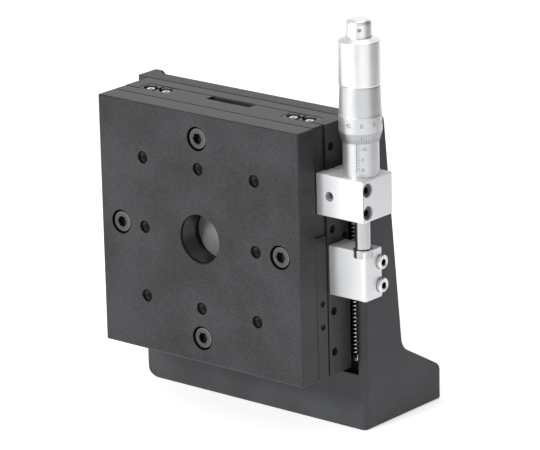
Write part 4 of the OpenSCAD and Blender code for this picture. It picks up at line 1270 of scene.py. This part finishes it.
@dataclass
class Studio:
    """The floor, the lights and the camera."""

    camera_at: Spot = (1228.65, -1467.16, 676.53)
    camera_turn: float = 40.211
    camera_tilt: float = 17.2
    camera_roll: float = -1.439
    camera_lens: float = 271.82
    camera_clip: Pair = (50.0, 50000.0)
    cards: tuple[Card, ...] = (
        Card(27.0, 330.0, 0.62),
        Card(125.0, 900.0, 0.14, fills=True),
        Card(-80.0, 420.0, 0.85),
        Card(205.0, 800.0, 1.15),
    )
    lamps: tuple[Softbox, ...] = (
        Softbox("key_softbox", (-240.0, -1500.0, 800.0), 300.0, 17.0),
        Softbox("side_softbox", (1500.0, -350.0, 750.0), 700.0, 0.25),
        Softbox("top_softbox", (100.0, 200.0, 1700.0), 1000.0, 6.0),
    )
    lamps_aim: Spot = (20.0, -30.0, 100.0)
    floor_half: float = 6000.0
    floor_low: float = -0.3
    floor_glow: float = 0.62
    room_light: float = 0.46
    room_gloss: float = 0.7

    def build(self) -> None:
        """Sets up the studio."""
        self._world()
        self._floor()
        for card in self.cards:
            self._card(card)
        for lamp in self.lamps:
            self._lamp(lamp)
        self._camera()
        bpy.context.scene.view_settings.view_transform = "Standard"

    def _world(self) -> None:
        """A pale room, brighter in reflections than in its light and plain white to the camera."""
        world = bpy.data.worlds.new("pale_room")
        bpy.context.scene.world = world
        graph = Graph(world)
        paths = graph.node("ShaderNodeLightPath", {}, {}).outputs

        def room(colour: Colour, strength: float) -> Value:
            """One even surrounding."""
            return graph.value("ShaderNodeBackground", {}, {"Color": rgba(colour), "Strength": strength})

        shown = room(PALE, self.room_light)
        for ray, seen in ("Is Glossy Ray", (PALE, self.room_gloss)), ("Is Camera Ray", (WHITE, 1.0)):
            terms = {0: paths[ray], 1: shown, 2: room(*seen)}
            shown = graph.value("ShaderNodeMixShader", {}, terms)
        graph.node("ShaderNodeOutputWorld", {}, {0: shown})

    def _sheet(
        self, name: str, corners: Sequence[Vector], colour: Colour, glow: Colour, strength: float
    ) -> bpy.types.Object:
        """A flat sheet of the studio.

        Args:
            name: Its name.
            corners: Its four corners.
            colour: Its colour.
            glow: The colour of the light that it gives of itself.
            strength: How much light that is.

        Returns:
            The new object.
        """
        data = bpy.data.meshes.new(name)
        data.from_pydata([tuple(c * MM) for c in corners], [], [(0, 1, 2, 3)])
        paper = Surface(f"{name}_paper")
        paler = tuple(min(1.0, c * PAPER_LIFT) for c in colour)
        paper.fill(paper.shader, {
            "Base Color": paper.mix(rgba(colour), rgba(paler), paper.noise(PAPER_PER_MM, detail=2.0)),
            "Roughness": 0.9, "Specular IOR Level": 0.0,
            "Emission Color": rgba(glow), "Emission Strength": strength,
        })
        data.materials.append(paper.owner)
        made = put_in_scene(name, data)
        return made

    def _floor(self) -> None:
        """Lays a plain pale floor just under the foot."""
        corners = [Vector((x * self.floor_half, y * self.floor_half, self.floor_low))
                   for x, y in ((-1, -1), (1, -1), (1, 1), (-1, 1))]
        self._sheet("floor", corners, PAPER, PAPER, self.floor_glow)

    def _card(self, card: Card) -> None:
        """Stands one card where the camera doesn't see it.

        Args:
            card: The card's place, size and brightness.
        """
        a = math.radians(card.azimuth)
        out = Vector((math.sin(a), -math.cos(a), 0)) * card.distance
        side = Vector((math.cos(a), math.sin(a), 0)) * card.width / 2
        up = Vector((0, 0, card.height))
        corners = [out - side, out + side, out + side + up, out - side + up]
        name = f"card_{card.azimuth:g}".replace("-", "minus_")
        made = self._sheet(name, corners, BLACK, WHITE, card.brightness)
        for ray in ("camera", "transmission", "volume_scatter", "shadow"):
            setattr(made, f"visible_{ray}", False)
        made.visible_diffuse = card.fills

    def _lamp(self, lamp: Softbox) -> None:
        """Hangs one softbox that points at the stage.

        Args:
            lamp: The softbox.
        """
        light = bpy.data.lights.new(lamp.name, "AREA")
        light.shape = "SQUARE"
        light.size = lamp.size * MM
        light.energy = lamp.power
        made = put_in_scene(lamp.name, light)
        made.location = Vector(lamp.spot) * MM
        aim = Vector(self.lamps_aim) - Vector(lamp.spot)
        made.rotation_euler = aim.to_track_quat("-Z", "Y").to_euler()

    def _camera(self) -> None:
        """Places the camera at the photograph's angle."""
        turn, tilt, roll = (math.radians(x) for x in (self.camera_turn, self.camera_tilt, self.camera_roll))
        aim = Euler((math.pi / 2 - tilt, 0, turn)).to_matrix() @ Matrix.Rotation(roll, 3, "Z")
        lens = bpy.data.cameras.new("photo_camera")
        lens.sensor_fit = "HORIZONTAL"
        lens.lens = self.camera_lens
        lens.clip_start, lens.clip_end = (reach * MM for reach in self.camera_clip)
        made = put_in_scene("photo_camera", lens)
        made.matrix_world = Matrix.Translation(Vector(self.camera_at) * MM) @ aim.to_4x4()
        bpy.context.scene.camera = made


def main() -> None:
    """Builds every sub-assembly in order."""
    logging.basicConfig(level=logging.INFO, format="%(name)s: %(message)s")
    parts = (BracketCasting, FixedBase, Carriage, MovingTable, DriveBlocks, MicrometerHead, Springs, Studio)
    for part in parts:
        LOG.info("building %s", part.__name__)
        part().build()


if __name__ == "__main__":
    main()
